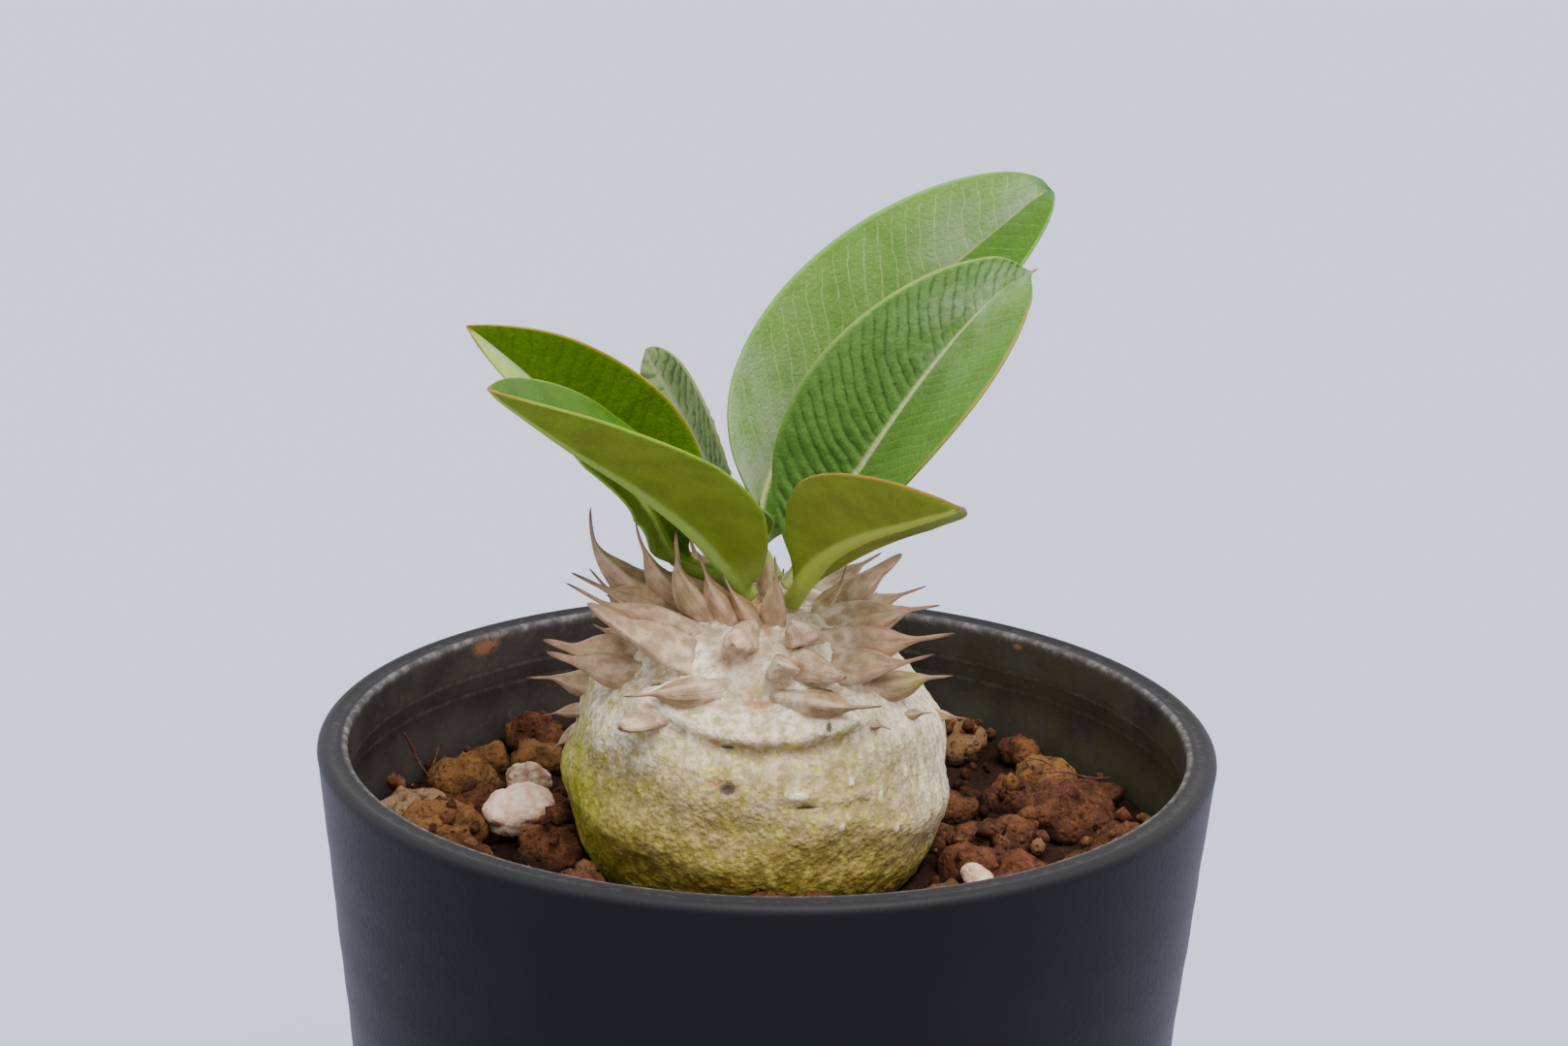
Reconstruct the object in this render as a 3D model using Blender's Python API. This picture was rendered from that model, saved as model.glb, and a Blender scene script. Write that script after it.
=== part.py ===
"""Potted pachypodium: a swollen, thorny stem with six leaves, in a turned plastic nursery pot.

Metres, +Z up. The origin is the centre of the pot's foot, on the surface that the pot stands on.
-Y is the front of the plant and +X its right-hand side, seen from the front.
"""
import math

import bmesh
import bpy
import numpy as np

MM = 0.001
GAP = 0.3 * MM

# Pot
POT_HEIGHT = 70.0 * MM
RIM_RADIUS = 37.5 * MM
WALL_SLOPE = math.tan(math.radians(5.9))
LIP_WIDTH = 2.6 * MM
LIP_DEPTH = 4.0 * MM
WALL_THICKNESS = 1.5 * MM
FLOOR_THICKNESS = 1.4 * MM
FOOT_HEIGHT = 1.4 * MM
FOOT_WIDTH = 3.2 * MM
FOOT_CHAMFER = 1.0 * MM
FLOOR_FILLET = 1.5 * MM
EDGE_ROUND = 0.6 * MM
POT_SIDES = 60
DRAIN_RADIUS = 3.0 * MM
DRAIN_CIRCLE = 17.0 * MM
DRAIN_COUNT = 6
DRAIN_SIDES = 16

# Soil
SOIL_LEVEL = 59.4 * MM
SOIL_SIDES = 44
ROOT_CLEARANCE = 1.5 * GAP
CLOD_SEED = 7
CLOD_SIZES = ((3.8 * MM, 12), (3.1 * MM, 20), (2.5 * MM, 34))
CLOD_CROWDING = 0.84
CLOD_ROUGHNESS = 0.16
CLOD_FLATNESS = 0.8
CLOD_TRIES = 4000

# Pumice stones: centre and the three half-sizes, in millimetres
PUMICE = {
    "pumice_large": ((-20.8, 2.4, 61.9), (3.0, 2.3, 1.9)),
    "pumice_small": ((-20.6, 9.8, 61.6), (2.0, 1.6, 1.5)),
    "pumice_front": ((17.4, -8.4, 60.9), (1.6, 1.3, 1.1)),
}
PUMICE_SEED = 3
PUMICE_ROUGHNESS = 0.14
SEAT_CLEARANCE = 1.3 * GAP

# Caudex: its axis, and its radius at each height from the root's tip to the growing point, in mm
STEM_X = -0.8 * MM
STEM_PROFILE = (
    (0.0, 30.0), (1.3, 31.5), (2.0, 38.0), (3.2, 45.0), (5.4, 50.0), (10.0, 55.0), (14.1, 60.0),
    (15.9, 64.5), (16.0, 67.5), (15.2, 71.3), (14.2, 73.8), (12.3, 76.0), (10.0, 78.0),
    (7.6, 80.2), (5.0, 81.5), (2.5, 81.9), (0.0, 81.9),
)
STEM_SHOULDER = 66.5 * MM
STEM_ROWS = 33
STEM_SIDES = 44
# Where the skin creases, the mesh has closer rows: height in millimetres and rows per length
ROW_DENSITY = ((30, 0.4), (56, 0.4), (60, 1.0), (70.5, 1.0), (72, 2.4), (77, 2.4), (79, 1.0), (82, 0.8))

# Folds in the skin: azimuth and half-spread in degrees, height, how far its ends rise, thickness
# and how far it stands out, in millimetres
SKIN_FOLDS = (
    (-84, 40, 73.3, 1.3, 0.75, -1.1),
    (-95, 30, 74.9, 0.3, 0.90, 0.8),
    (-102, 26, 76.6, 0.3, 0.60, -0.6),
    (-58, 10, 75.6, 0.0, 1.10, 0.7),
    (-66, 20, 69.0, 0.2, 0.60, -0.3),
    (80, 60, 72.0, 0.8, 1.00, -0.7),
    (75, 50, 73.8, 0.5, 0.90, 0.4),
)

# Thorns that show from the front: azimuth in degrees (0 at +X, -90 at the front), distance of the
# root from the stem's axis, the tip's x, y and z, how far the thorn bows outward, its girth, and
# how blunt it is, from 0 for a spine to 1 for a worn stub
FRONT_THORNS = (
    (176, 7.5, -15.0, 1.0, 89.3, 2.6, 1.5, 0.0),
    (-174, 5.8, -11.2, -0.8, 88.7, 1.6, 1.4, 0.0),
    (-144, 5.4, -7.8, -3.5, 89.0, 1.6, 1.3, 0.0),
    (-122, 4.9, -6.0, -5.0, 87.6, 0.6, 1.3, 0.0),
    (-100, 4.8, -4.0, -5.4, 86.0, 0.2, 1.1, 0.0),
    (-76, 5.0, 0.3, -5.6, 87.6, 0.2, 1.0, 0.0),
    (70, 0.6, -1.1, 0.2, 90.5, 0.0, 0.6, 0.0),
    (-59, 1.1, -0.4, -1.1, 89.2, 0.0, 0.5, 0.0),
    (164, 9.6, -15.2, 3.5, 83.2, 0.4, 1.2, 0.0),
    (-176, 7.2, -16.5, -1.5, 84.4, 0.2, 1.6, 0.0),
    (-146, 7.6, -16.7, -6.0, 85.0, 0.2, 1.6, 0.0),
    (-131, 9.0, -14.8, -8.2, 84.0, 0.2, 1.6, 0.5),
    (-168, 10.8, -18.6, -4.2, 79.4, 0.3, 1.6, 0.2),
    (-158, 11.4, -18.2, -6.6, 79.2, 0.2, 1.4, 0.2),
    (-179, 14.0, -20.3, 0.0, 74.6, -0.3, 1.15, 0.0),
    (-178, 15.0, -19.0, -0.5, 71.4, 0.0, 0.6, 0.0),
    (-179, 15.6, -18.3, -0.3, 68.1, 0.0, 0.5, 0.0),
    (-112, 10.6, -11.6, -13.6, 78.0, 0.8, 1.3, 0.0),
    (-127, 12.4, -11.8, -13.8, 75.4, 0.4, 1.4, 0.9),
    (-73, 11.3, 9.2, -14.0, 77.8, 0.8, 1.3, 0.0),
    (-48, 13.4, 10.0, -11.8, 75.0, 0.0, 0.6, 0.0),
    (-28, 13.8, 13.4, -8.0, 75.2, 0.0, 0.6, 0.0),
    (-32, 11.6, 15.1, -7.4, 78.2, 0.2, 1.3, 0.0),
    (-46, 9.6, 13.5, -9.6, 80.8, 0.2, 1.5, 0.0),
    (-38, 8.2, 15.2, -7.2, 81.8, 0.2, 1.7, 0.0),
    (-22, 6.8, 14.0, -3.4, 82.9, 0.2, 1.6, 0.0),
    (16, 7.6, 13.0, 2.8, 82.5, 0.2, 1.2, 0.0),
    (2, 6.2, 10.8, 0.5, 86.0, 0.3, 1.3, 0.5),
    (-14, 5.1, 6.2, -1.6, 85.6, 0.3, 0.9, 0.0),
    (-66, 8.8, 6.2, -12.4, 79.6, 0.3, 1.4, 0.6),
    (-100, 6.6, -3.0, -10.6, 81.6, 0.4, 1.3, 1.0),
    (-58, 6.9, 1.8, -9.2, 83.0, 0.4, 1.4, 1.0),
    (-78, 9.0, 0.8, -13.0, 80.8, 0.4, 1.2, 1.0),
    (-4, 14.8, 16.8, -1.0, 72.2, 0.0, 0.5, 0.0),
)
# Thorns at the back follow the stem's own rule: pairs that climb by the golden angle. Lengths
# are in millimetres and angles in degrees; each "per" is what a millimetre further out takes off
GOLDEN_ANGLE = 137.5
BACK_SEED = 11
BACK_PAIRS = 34
BACK_FROM, BACK_TO = 28.0, 158.0
BACK_NEAREST, BACK_SPAN = 5.4, 10.0
BACK_LENGTH, BACK_LENGTH_PER = 9.2, 0.45
BACK_RISE, BACK_RISE_PER = 7.0, 0.45
BACK_GIRTH, BACK_GIRTH_PER = 1.75, 0.07
BACK_BOW = 0.5
BACK_ROOT_SPREAD = 60.0
PAIR_SPREAD = 15.0
THORN_SIDES = 6
THORN_SINK = 1.8 * MM
THORN_WIDE, THORN_DEEP = 1.15, 0.9
# Along a thorn: the station, and the width there of a spine and of a stub, as shares of its girth
THORN_STATIONS = (0.0, 0.25, 0.50, 0.70, 0.88)
SPINE_WIDTHS = (1.0, 0.86, 0.57, 0.29, 0.15)
STUB_WIDTHS = (1.0, 0.98, 0.92, 0.82, 0.58)

# Leaves: points that the rib passes through from the crown to the tip, the half-width, where the
# petiole ends, how full the outline is towards base and tip, the roll at base and tip, and the fold
LEAVES = {
    "leaf_tall_back": (
        ((0.5, 2.1, 83.0), (-1.5, 5.0, 87.3), (1.4, 8.4, 93.8), (9.4, 11.9, 102.7),
         (22.8, 15.6, 113.8)),
        9.8, 0.13, (0.80, 0.57), (-64, -52), 41),
    "leaf_tall_front": (
        ((1.6, 0.0, 82.8), (7.5, -0.6, 93.9), (12.9, 0.3, 102.2), (17.7, 2.7, 107.4),
         (21.3, 6.5, 108.9)),
        10.0, 0.03, (0.95, 1.66), (-67, -44), 51),
    "leaf_low_right": (
        ((1.8, -2.3, 82.8), (4.2, -7.0, 87.8), (7.3, -11.4, 91.2), (10.9, -15.8, 93.8),
         (14.6, -20.6, 96.5)),
        6.9, 0.04, (1.25, 1.10), (28, 28), 24),
    "leaf_upper_left": (
        ((-2.6, 1.3, 83.3), (-7.7, 5.4, 83.5), (-11.1, 6.4, 88.3), (-15.8, 6.0, 93.6),
         (-20.4, 5.4, 98.9), (-25.6, 4.8, 103.5)),
        7.6, 0.15, (0.85, 0.90), (33, 63), 49),
    "leaf_lower_left": (
        ((-1.6, -1.8, 82.8), (-5.9, -3.2, 88.4), (-10.9, -6.3, 93.3), (-16.5, -11.4, 98.4),
         (-22.1, -18.8, 104.7)),
        8.8, 0.03, (0.68, 0.86), (-12, 18), 30),
    "leaf_small": (
        ((-1.4, 3.1, 82.9), (-3.5, 8.8, 86.2), (-5.7, 13.7, 89.8), (-8.3, 18.0, 93.5),
         (-11.3, 22.0, 97.2)),
        4.8, 0.05, (0.75, 0.70), (88, 78), 16),
}
BLADE_THICKNESS = 0.7 * MM
RIB_DEPTH = 0.6 * MM
RIB_SHARE = 0.25
PETIOLE_HALF_WIDTH = 0.7 * MM
TIP_HALF_WIDTH = 0.2 * MM
LEAF_END = 0.995
LEAF_ROWS = 17
LEAF_HALF_COLUMNS = 4
# Rows crowd towards the tip, where the outline closes
TIP_CROWDING = 1.5

# Colours, as scene-linear red, green and blue
POT_COLOUR = (0.018, 0.019, 0.022)
SOIL_COLOUR = (0.19, 0.075, 0.035)
PUMICE_COLOUR = (0.68, 0.60, 0.50)
CAUDEX_COLOUR = (0.46, 0.42, 0.24)
LEAF_COLOURS = {
    "leaf_tall_back": (0.17, 0.36, 0.07),
    "leaf_tall_front": (0.08, 0.25, 0.05),
    "leaf_low_right": (0.16, 0.21, 0.02),
    "leaf_upper_left": (0.13, 0.24, 0.02),
    "leaf_lower_left": (0.16, 0.26, 0.02),
    "leaf_small": (0.13, 0.24, 0.09),
}


def clear_scene():
    """Removes whatever the file starts with."""
    for item in list(bpy.data.objects):
        bpy.data.objects.remove(item)


def material(name, colour, roughness):
    """A plain Principled material."""
    made = bpy.data.materials.new(name)
    made.use_nodes = True
    shader = made.node_tree.nodes["Principled BSDF"]
    shader.inputs["Base Color"].default_value = (*colour, 1.0)
    shader.inputs["Roughness"].default_value = roughness
    made.diffuse_color = (*colour, 1.0)
    return made


def add_object(name, points, faces, finish=None):
    """Puts points and faces into a new mesh object, smooth except at its sharp edges."""
    mesh = bpy.data.meshes.new(name)
    mesh.from_pydata(np.asarray(points).tolist(), [], faces)
    mesh.validate()
    mesh.shade_smooth()
    mesh.set_sharp_from_angle(angle=math.radians(40))
    made = bpy.data.objects.new(name, mesh)
    bpy.context.collection.objects.link(made)
    if finish is not None:
        mesh.materials.append(finish)
    return made


def face_outward(made):
    """Turns all faces of a closed mesh outward."""
    edit = bmesh.new()
    edit.from_mesh(made.data)
    bmesh.ops.recalc_face_normals(edit, faces=edit.faces)
    if edit.calc_volume(signed=True) < 0:
        bmesh.ops.reverse_faces(edit, faces=edit.faces)
    edit.to_mesh(made.data)
    edit.free()


def apply_modifiers(made):
    """Replaces an object's mesh by its evaluated mesh."""
    bpy.context.view_layer.update()
    evaluated = made.evaluated_get(bpy.context.evaluated_depsgraph_get())
    mesh = bpy.data.meshes.new_from_object(evaluated)
    made.modifiers.clear()
    made.data = mesh


def fuse(base, extras):
    """Joins the extra solids to the base with one Boolean union, then removes them."""
    group = bpy.data.collections.new("fused")
    bpy.context.scene.collection.children.link(group)
    for extra in extras:
        bpy.context.collection.objects.unlink(extra)
        group.objects.link(extra)
    union = base.modifiers.new("union", "BOOLEAN")
    union.operation = "UNION"
    union.operand_type = "COLLECTION"
    union.collection = group
    apply_modifiers(base)
    for extra in extras:
        bpy.data.objects.remove(extra)
    bpy.data.collections.remove(group)


def stack_faces(rows, sides):
    """Faces of a stack of closed rings, whose first and last points are single poles."""
    faces = [(0, 1 + (k + 1) % sides, 1 + k) for k in range(sides)]
    for row in range(rows - 1):
        low = 1 + row * sides
        high = low + sides
        for k in range(sides):
            n = (k + 1) % sides
            faces.append((low + k, low + n, high + n, high + k))
    last = 1 + (rows - 1) * sides
    faces += [(last + k, last + (k + 1) % sides, last + sides) for k in range(sides)]
    return faces


def turned(name, profile, sides, finish, centre_x=0.0, relief=None):
    """Turns (radius, height) points about a vertical axis, from a pole on it to a pole on it.

    The profile climbs the outside. A relief function of azimuth and height moves points outward.
    """
    inner = np.array(profile[1:-1])
    angles = np.arange(sides) * 2 * math.pi / sides
    angle, row = np.meshgrid(angles, np.arange(len(inner)))
    radius = inner[row, 0]
    height = inner[row, 1]
    if relief is not None:
        radius = radius + relief(angle, height)
    ring = np.stack([centre_x + radius * np.cos(angle), radius * np.sin(angle), height], axis=-1)
    first = [(centre_x, 0.0, profile[0][1])]
    last = [(centre_x, 0.0, profile[-1][1])]
    points = np.concatenate([first, ring.reshape(-1, 3), last])
    return add_object(name, points, stack_faces(len(inner), sides), finish)


def curve_through(points, u):
    """Points and directions on a Catmull-Rom curve through the given ones, at shares u of it."""
    given = np.array(points, dtype=float)
    ends = np.concatenate([given[:1] * 2 - given[1:2], given, given[-1:] * 2 - given[-2:-1]])
    spans = len(given) - 1
    place = u * spans
    first = np.minimum(place.astype(int), spans - 1)
    t = (place - first)[:, None]
    a, b, c, d = (ends[first + k] for k in range(4))
    bend = 2 * a - 5 * b + 4 * c - d
    twist = 3 * b - a - 3 * c + d
    point = 0.5 * (2 * b + (c - a) * t + bend * t ** 2 + twist * t ** 3)
    along = (c - a) + 2 * bend * t + 3 * twist * t ** 2
    return point, along / np.linalg.norm(along, axis=1, keepdims=True)


def outer_wall(height):
    """Radius of the pot's outside at a height."""
    return RIM_RADIUS - (POT_HEIGHT - height) * WALL_SLOPE


def inner_wall(height):
    """Radius of the pot's inside below its thick lip."""
    return outer_wall(height) - WALL_THICKNESS


def pot_profile():
    """The pot's section, from the middle of its underside round the outside to its floor."""
    top = POT_HEIGHT
    lip = RIM_RADIUS - LIP_WIDTH
    under_lip = top - LIP_DEPTH
    floor_top = FOOT_HEIGHT + FLOOR_THICKNESS
    foot_outer = outer_wall(0)
    foot_inner = foot_outer - FOOT_WIDTH
    return [
        (0.0, FOOT_HEIGHT),
        (foot_inner - FOOT_CHAMFER, FOOT_HEIGHT),
        (foot_inner, 0.0),
        (foot_outer - EDGE_ROUND, 0.0),
        (outer_wall(EDGE_ROUND), EDGE_ROUND),
        (outer_wall(top - EDGE_ROUND), top - EDGE_ROUND),
        (RIM_RADIUS - 0.3 * EDGE_ROUND, top - 0.25 * EDGE_ROUND),
        (RIM_RADIUS - EDGE_ROUND, top),
        (lip + 0.5 * EDGE_ROUND, top),
        (lip, top - 0.5 * EDGE_ROUND),
        (lip, under_lip),
        (inner_wall(under_lip - EDGE_ROUND), under_lip - EDGE_ROUND),
        (inner_wall(floor_top + FLOOR_FILLET), floor_top + FLOOR_FILLET),
        (inner_wall(floor_top) - FLOOR_FILLET, floor_top),
        (0.0, floor_top),
    ]


def drain_drills():
    """The cutter for the drain holes: a ring of upright cylinders through the floor."""
    drills = bmesh.new()
    for k in range(DRAIN_COUNT):
        angle = 2 * math.pi * k / DRAIN_COUNT
        drill = bmesh.ops.create_cone(drills, cap_ends=True, segments=DRAIN_SIDES,
                                      radius1=DRAIN_RADIUS, radius2=DRAIN_RADIUS,
                                      depth=6 * FLOOR_THICKNESS)
        place = (DRAIN_CIRCLE * math.cos(angle), DRAIN_CIRCLE * math.sin(angle), FOOT_HEIGHT)
        bmesh.ops.translate(drills, verts=drill["verts"], vec=place)
    mesh = bpy.data.meshes.new("drain_drill")
    drills.to_mesh(mesh)
    drills.free()
    cutter = bpy.data.objects.new("drain_drill", mesh)
    bpy.context.collection.objects.link(cutter)
    cutter.hide_render = True
    cutter.display_type = "WIRE"
    return cutter


def add_pot():
    """The turned pot, with its drain holes cut through the floor."""
    pot = turned("pot", pot_profile(), POT_SIDES, material("pot", POT_COLOUR, 0.45))
    holes = pot.modifiers.new("drain_holes", "BOOLEAN")
    holes.operation = "DIFFERENCE"
    holes.object = drain_drills()
    return pot


def stem_curve(rows):
    """The caudex's profile in metres, with closer rows where its skin creases."""
    fine = curve_through(STEM_PROFILE, np.linspace(0, 1, 12 * len(STEM_PROFILE)))[0]
    step = np.linalg.norm(np.diff(fine, axis=0), axis=1)
    heights, densities = np.array(ROW_DENSITY).T
    crowding = np.interp((fine[1:, 1] + fine[:-1, 1]) / 2, heights, densities)
    travel = np.concatenate([[0], np.cumsum(step * crowding)])
    even = np.linspace(0, travel[-1], rows)
    curve = np.stack([np.interp(even, travel, fine[:, k]) for k in range(2)], axis=-1) * MM
    curve[:, 0] = np.maximum(curve[:, 0], 0)
    return curve


def stem_radius(height):
    """Radius of the plain caudex at a height in metres."""
    curve = stem_curve(400)
    return np.interp(height, curve[:, 1], curve[:, 0])


def crown_height(distance):
    """Height of the caudex's upper surface at a distance from its axis."""
    curve = stem_curve(400)
    upper = curve[curve[:, 1] > STEM_SHOULDER][::-1]
    return np.interp(distance, upper[:, 0], upper[:, 1])


def stem_relief(angle, height):
    """Outward offset of the skin: its creases and rolls, and low lumps above the soil."""
    level = height / MM
    offset = np.zeros_like(level)
    for azimuth, spread, fold_height, rise, thickness, amount in SKIN_FOLDS:
        away = ((np.degrees(angle) - azimuth + 180) % 360 - 180) / spread
        above = (level - fold_height - rise * away ** 2) / thickness
        offset += amount * np.exp(-away ** 2 - above ** 2)
    seen = np.clip((level - 60) / 4, 0, 1) * np.clip((80 - level) / 4, 0, 1)
    lumps = 0.20 * np.sin(3 * angle + 0.9 * level) + 0.14 * np.sin(7 * angle - 0.7 * level + 1.0)
    return (offset + lumps * seen) * MM


def thorn_rings(azimuth, distance, tip, bow, girth, bluntness):
    """One thorn: its root below the skin, its rings, and its end.

    It follows a quadratic curve from root to tip that bows outward, and narrows from a broad,
    slightly flattened body to a spine or a stub.
    """
    out = np.array([math.cos(azimuth), math.sin(azimuth), 0.0])
    root = out * distance + np.array([STEM_X, 0.0, crown_height(distance)])
    middle = (root + tip) / 2 + out * bow * 1.5
    inward = root - middle
    start = root + inward / np.linalg.norm(inward) * THORN_SINK
    turn = np.arange(THORN_SIDES) * 2 * math.pi / THORN_SIDES
    rings = []
    for s, spine, stub in zip(THORN_STATIONS, SPINE_WIDTHS, STUB_WIDTHS):
        centre = (1 - s) ** 2 * start + 2 * s * (1 - s) * middle + s * s * tip
        along = (1 - s) * (middle - start) + s * (tip - middle)
        along /= np.linalg.norm(along)
        side = np.cross(along, (0.0, 0.0, 1.0))
        side /= np.linalg.norm(side)
        over = np.cross(side, along)
        reach = girth * (spine + (stub - spine) * bluntness)
        rings.append(centre + reach * (THORN_WIDE * np.cos(turn)[:, None] * side
                                       + THORN_DEEP * np.sin(turn)[:, None] * over))
    return start, np.array(rings), tip


def add_thorn(name, row):
    """One thorn as a closed solid, from a row of the thorn table."""
    azimuth, distance, x, y, z, bow, girth, bluntness = row
    tip = np.array([x, y, z]) * MM
    start, rings, end = thorn_rings(math.radians(azimuth), distance * MM, tip, bow * MM,
                                    girth * MM, bluntness)
    points = np.concatenate([start[None], rings.reshape(-1, 3), end[None]])
    made = add_object(name, points, stack_faces(len(rings), THORN_SIDES))
    face_outward(made)
    return made


def back_thorns():
    """Thorn pairs on the hidden side, placed by the golden angle with seeded variation.

    Each later pair roots further out, leans lower and is shorter, as an older one does.
    """
    draw = np.random.default_rng(BACK_SEED)
    rows = []
    for pair in range(BACK_PAIRS):
        azimuth = (pair * GOLDEN_ANGLE) % 360
        distance = BACK_NEAREST + BACK_SPAN * (pair / BACK_PAIRS) ** 0.9
        wobble = draw.uniform(-1, 1, 5)
        if not BACK_FROM < azimuth < BACK_TO:
            continue
        rise = BACK_RISE - BACK_RISE_PER * distance
        girth = BACK_GIRTH - BACK_GIRTH_PER * distance
        for side in (-1, 1):
            own = wobble[2 + side]
            heading = math.radians(azimuth + side * (PAIR_SPREAD + 4 * wobble[0]))
            length = (BACK_LENGTH - BACK_LENGTH_PER * distance) * (1 + 0.15 * own)
            root_azimuth = math.radians(azimuth + side * BACK_ROOT_SPREAD / distance)
            x = distance * math.cos(root_azimuth) + length * math.cos(heading) + STEM_X / MM
            y = distance * math.sin(root_azimuth) + length * math.sin(heading)
            z = crown_height(distance * MM) / MM + rise * (0.55 + 0.2 * wobble[2 - side])
            rows.append((math.degrees(root_azimuth), distance, x, y, z, BACK_BOW, girth, 0.0))
    return tuple(rows)


def add_caudex():
    """The swollen stem with its tap root below and its thorns fused on."""
    curve = [tuple(point) for point in stem_curve(STEM_ROWS)]
    finish = material("caudex", CAUDEX_COLOUR, 0.75)
    stem = turned("caudex", curve, STEM_SIDES, finish, STEM_X, stem_relief)
    rows = FRONT_THORNS + back_thorns()
    fuse(stem, [add_thorn("thorn_%d" % k, row) for k, row in enumerate(rows)])
    return stem


def lumpy(directions, draw, amount):
    """Distance factors for unit directions: a few seeded waves, so that each stone differs."""
    waves = draw.normal(0, 1.6, (4, 3))
    phases = draw.uniform(0, 2 * math.pi, 4)
    return 1 + amount * np.sin(directions @ waves.T + phases).sum(axis=1) / 2


def stone_mesh(draw, half_sizes, amount, subdivisions):
    """Points and faces of an irregular stone about the origin, from an icosphere."""
    ball = bmesh.new()
    bmesh.ops.create_icosphere(ball, subdivisions=subdivisions, radius=1.0)
    directions = np.array([v.co[:] for v in ball.verts])
    faces = [tuple(v.index for v in f.verts) for f in ball.faces]
    ball.free()
    turn = draw.uniform(0, 2 * math.pi)
    cos, sin = math.cos(turn), math.sin(turn)
    spin = np.array([[cos, -sin, 0], [sin, cos, 0], [0, 0, 1]])
    points = directions * lumpy(directions, draw, amount)[:, None] * np.array(half_sizes)
    return points @ spin.T, faces


def clod_places():
    """Seeded clod centres, from large to small, none crowding another, a stone or the walls."""
    draw = np.random.default_rng(CLOD_SEED)
    placed = [(np.array(c[:2]) * MM, max(h[:2]) * MM * 0.75) for c, h in PUMICE.values()]
    kept = []
    inner = stem_radius(SOIL_LEVEL)
    for radius, count in CLOD_SIZES:
        made = 0
        for _ in range(CLOD_TRIES):
            if made == count:
                break
            far = inner_wall(SOIL_LEVEL) - 0.55 * radius
            near = inner + 0.55 * radius
            distance = math.sqrt(draw.uniform(near ** 2, far ** 2))
            angle = draw.uniform(0, 2 * math.pi)
            spot = np.array([STEM_X + distance * math.cos(angle), distance * math.sin(angle)])
            room = [np.linalg.norm(spot - other) - CLOD_CROWDING * (radius + size)
                    for other, size in placed]
            if min(room) < 0:
                continue
            placed.append((spot, radius))
            kept.append((spot, radius, int(draw.integers(1000))))
            made += 1
    return kept


def keep_in_pot(points):
    """Pulls points inside the pot's wall, a gap clear of it."""
    reach = np.linalg.norm(points[:, :2], axis=1)
    furthest = inner_wall(points[:, 2]) - ROOT_CLEARANCE
    flat = points[:, :2] * (np.minimum(reach, furthest) / reach)[:, None]
    return np.column_stack([flat, points[:, 2]])


def soil_profile():
    """Section of the soil before the root's hole is cut: up the pot's wall and in over the top."""
    floor_top = FOOT_HEIGHT + FLOOR_THICKNESS + GAP
    shoulder = floor_top + FLOOR_FILLET
    return [(0.0, floor_top),
            (inner_wall(floor_top) - FLOOR_FILLET - 2 * GAP, floor_top),
            (inner_wall(shoulder) - GAP, shoulder + GAP),
            (inner_wall(SOIL_LEVEL) - GAP, SOIL_LEVEL),
            (0.0, SOIL_LEVEL)]


def add_root_bed():
    """The cutter for the hole that the root stands in: the stem's lower part, a gap larger."""
    rows = [(float(r) + ROOT_CLEARANCE, float(h)) for r, h in stem_curve(STEM_ROWS)[1:]
            if h < STEM_SHOULDER]
    foot = (0.0, STEM_PROFILE[0][1] * MM - ROOT_CLEARANCE)
    profile = [foot] + rows + [(0.0, STEM_SHOULDER)]
    return turned("root_bed", profile, STEM_SIDES, None, STEM_X)


def add_clod(name, spot, radius, seed):
    """One clod of the soil's surface, half sunk at its place."""
    draw = np.random.default_rng(seed)
    half = radius * draw.uniform(0.85, 1.1, 3) * np.array([1.0, 1.0, CLOD_FLATNESS])
    subdivisions = 2 if radius == CLOD_SIZES[0][0] else 1
    points, faces = stone_mesh(draw, half, CLOD_ROUGHNESS, subdivisions)
    lift = SOIL_LEVEL + draw.uniform(-0.05, 0.3) * radius
    return add_object(name, keep_in_pot(points + np.array([*spot, lift])), faces)


def add_soil(seats):
    """The soil that fills the pot, with its clods, and hollows for the root and the stones."""
    finish = material("soil", SOIL_COLOUR, 0.95)
    soil = turned("soil", soil_profile(), SOIL_SIDES, finish)
    fuse(soil, [add_clod("clod_%d" % k, *place) for k, place in enumerate(clod_places())])
    for cutter in [add_root_bed()] + seats:
        hollow = soil.modifiers.new("hollow", "BOOLEAN")
        hollow.operation = "DIFFERENCE"
        hollow.object = cutter
        apply_modifiers(soil)
        bpy.data.objects.remove(cutter)
    return soil


def add_pumice():
    """The pale stones. Returns a slightly larger copy of each, to hollow the soil with."""
    seats = []
    for k, (name, (centre, half)) in enumerate(PUMICE.items()):
        finish = material(name, PUMICE_COLOUR, 0.9)
        for label, grow in ((name, 0.0), (name + "_seat", SEAT_CLEARANCE)):
            draw = np.random.default_rng(PUMICE_SEED + k)
            points, faces = stone_mesh(draw, np.array(half) * MM + grow, PUMICE_ROUGHNESS, 2)
            made = add_object(label, points + np.array(centre) * MM, faces, finish)
        seats.append(made)
    return seats


def half_width(u, widest, petiole, fullness):
    """Half-width along a leaf: narrow petiole, then a blade u^p (1-u)^q scaled to its widest."""
    p, q = fullness
    blade = np.clip((u - petiole) / (1 - petiole), 0, 1)
    peak = p / (p + q)
    outline = blade ** p * (1 - blade) ** q / (peak ** p * (1 - peak) ** q)
    slim = PETIOLE_HALF_WIDTH + (TIP_HALF_WIDTH - PETIOLE_HALF_WIDTH) * u
    return np.maximum(widest * MM * outline, slim)


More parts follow.
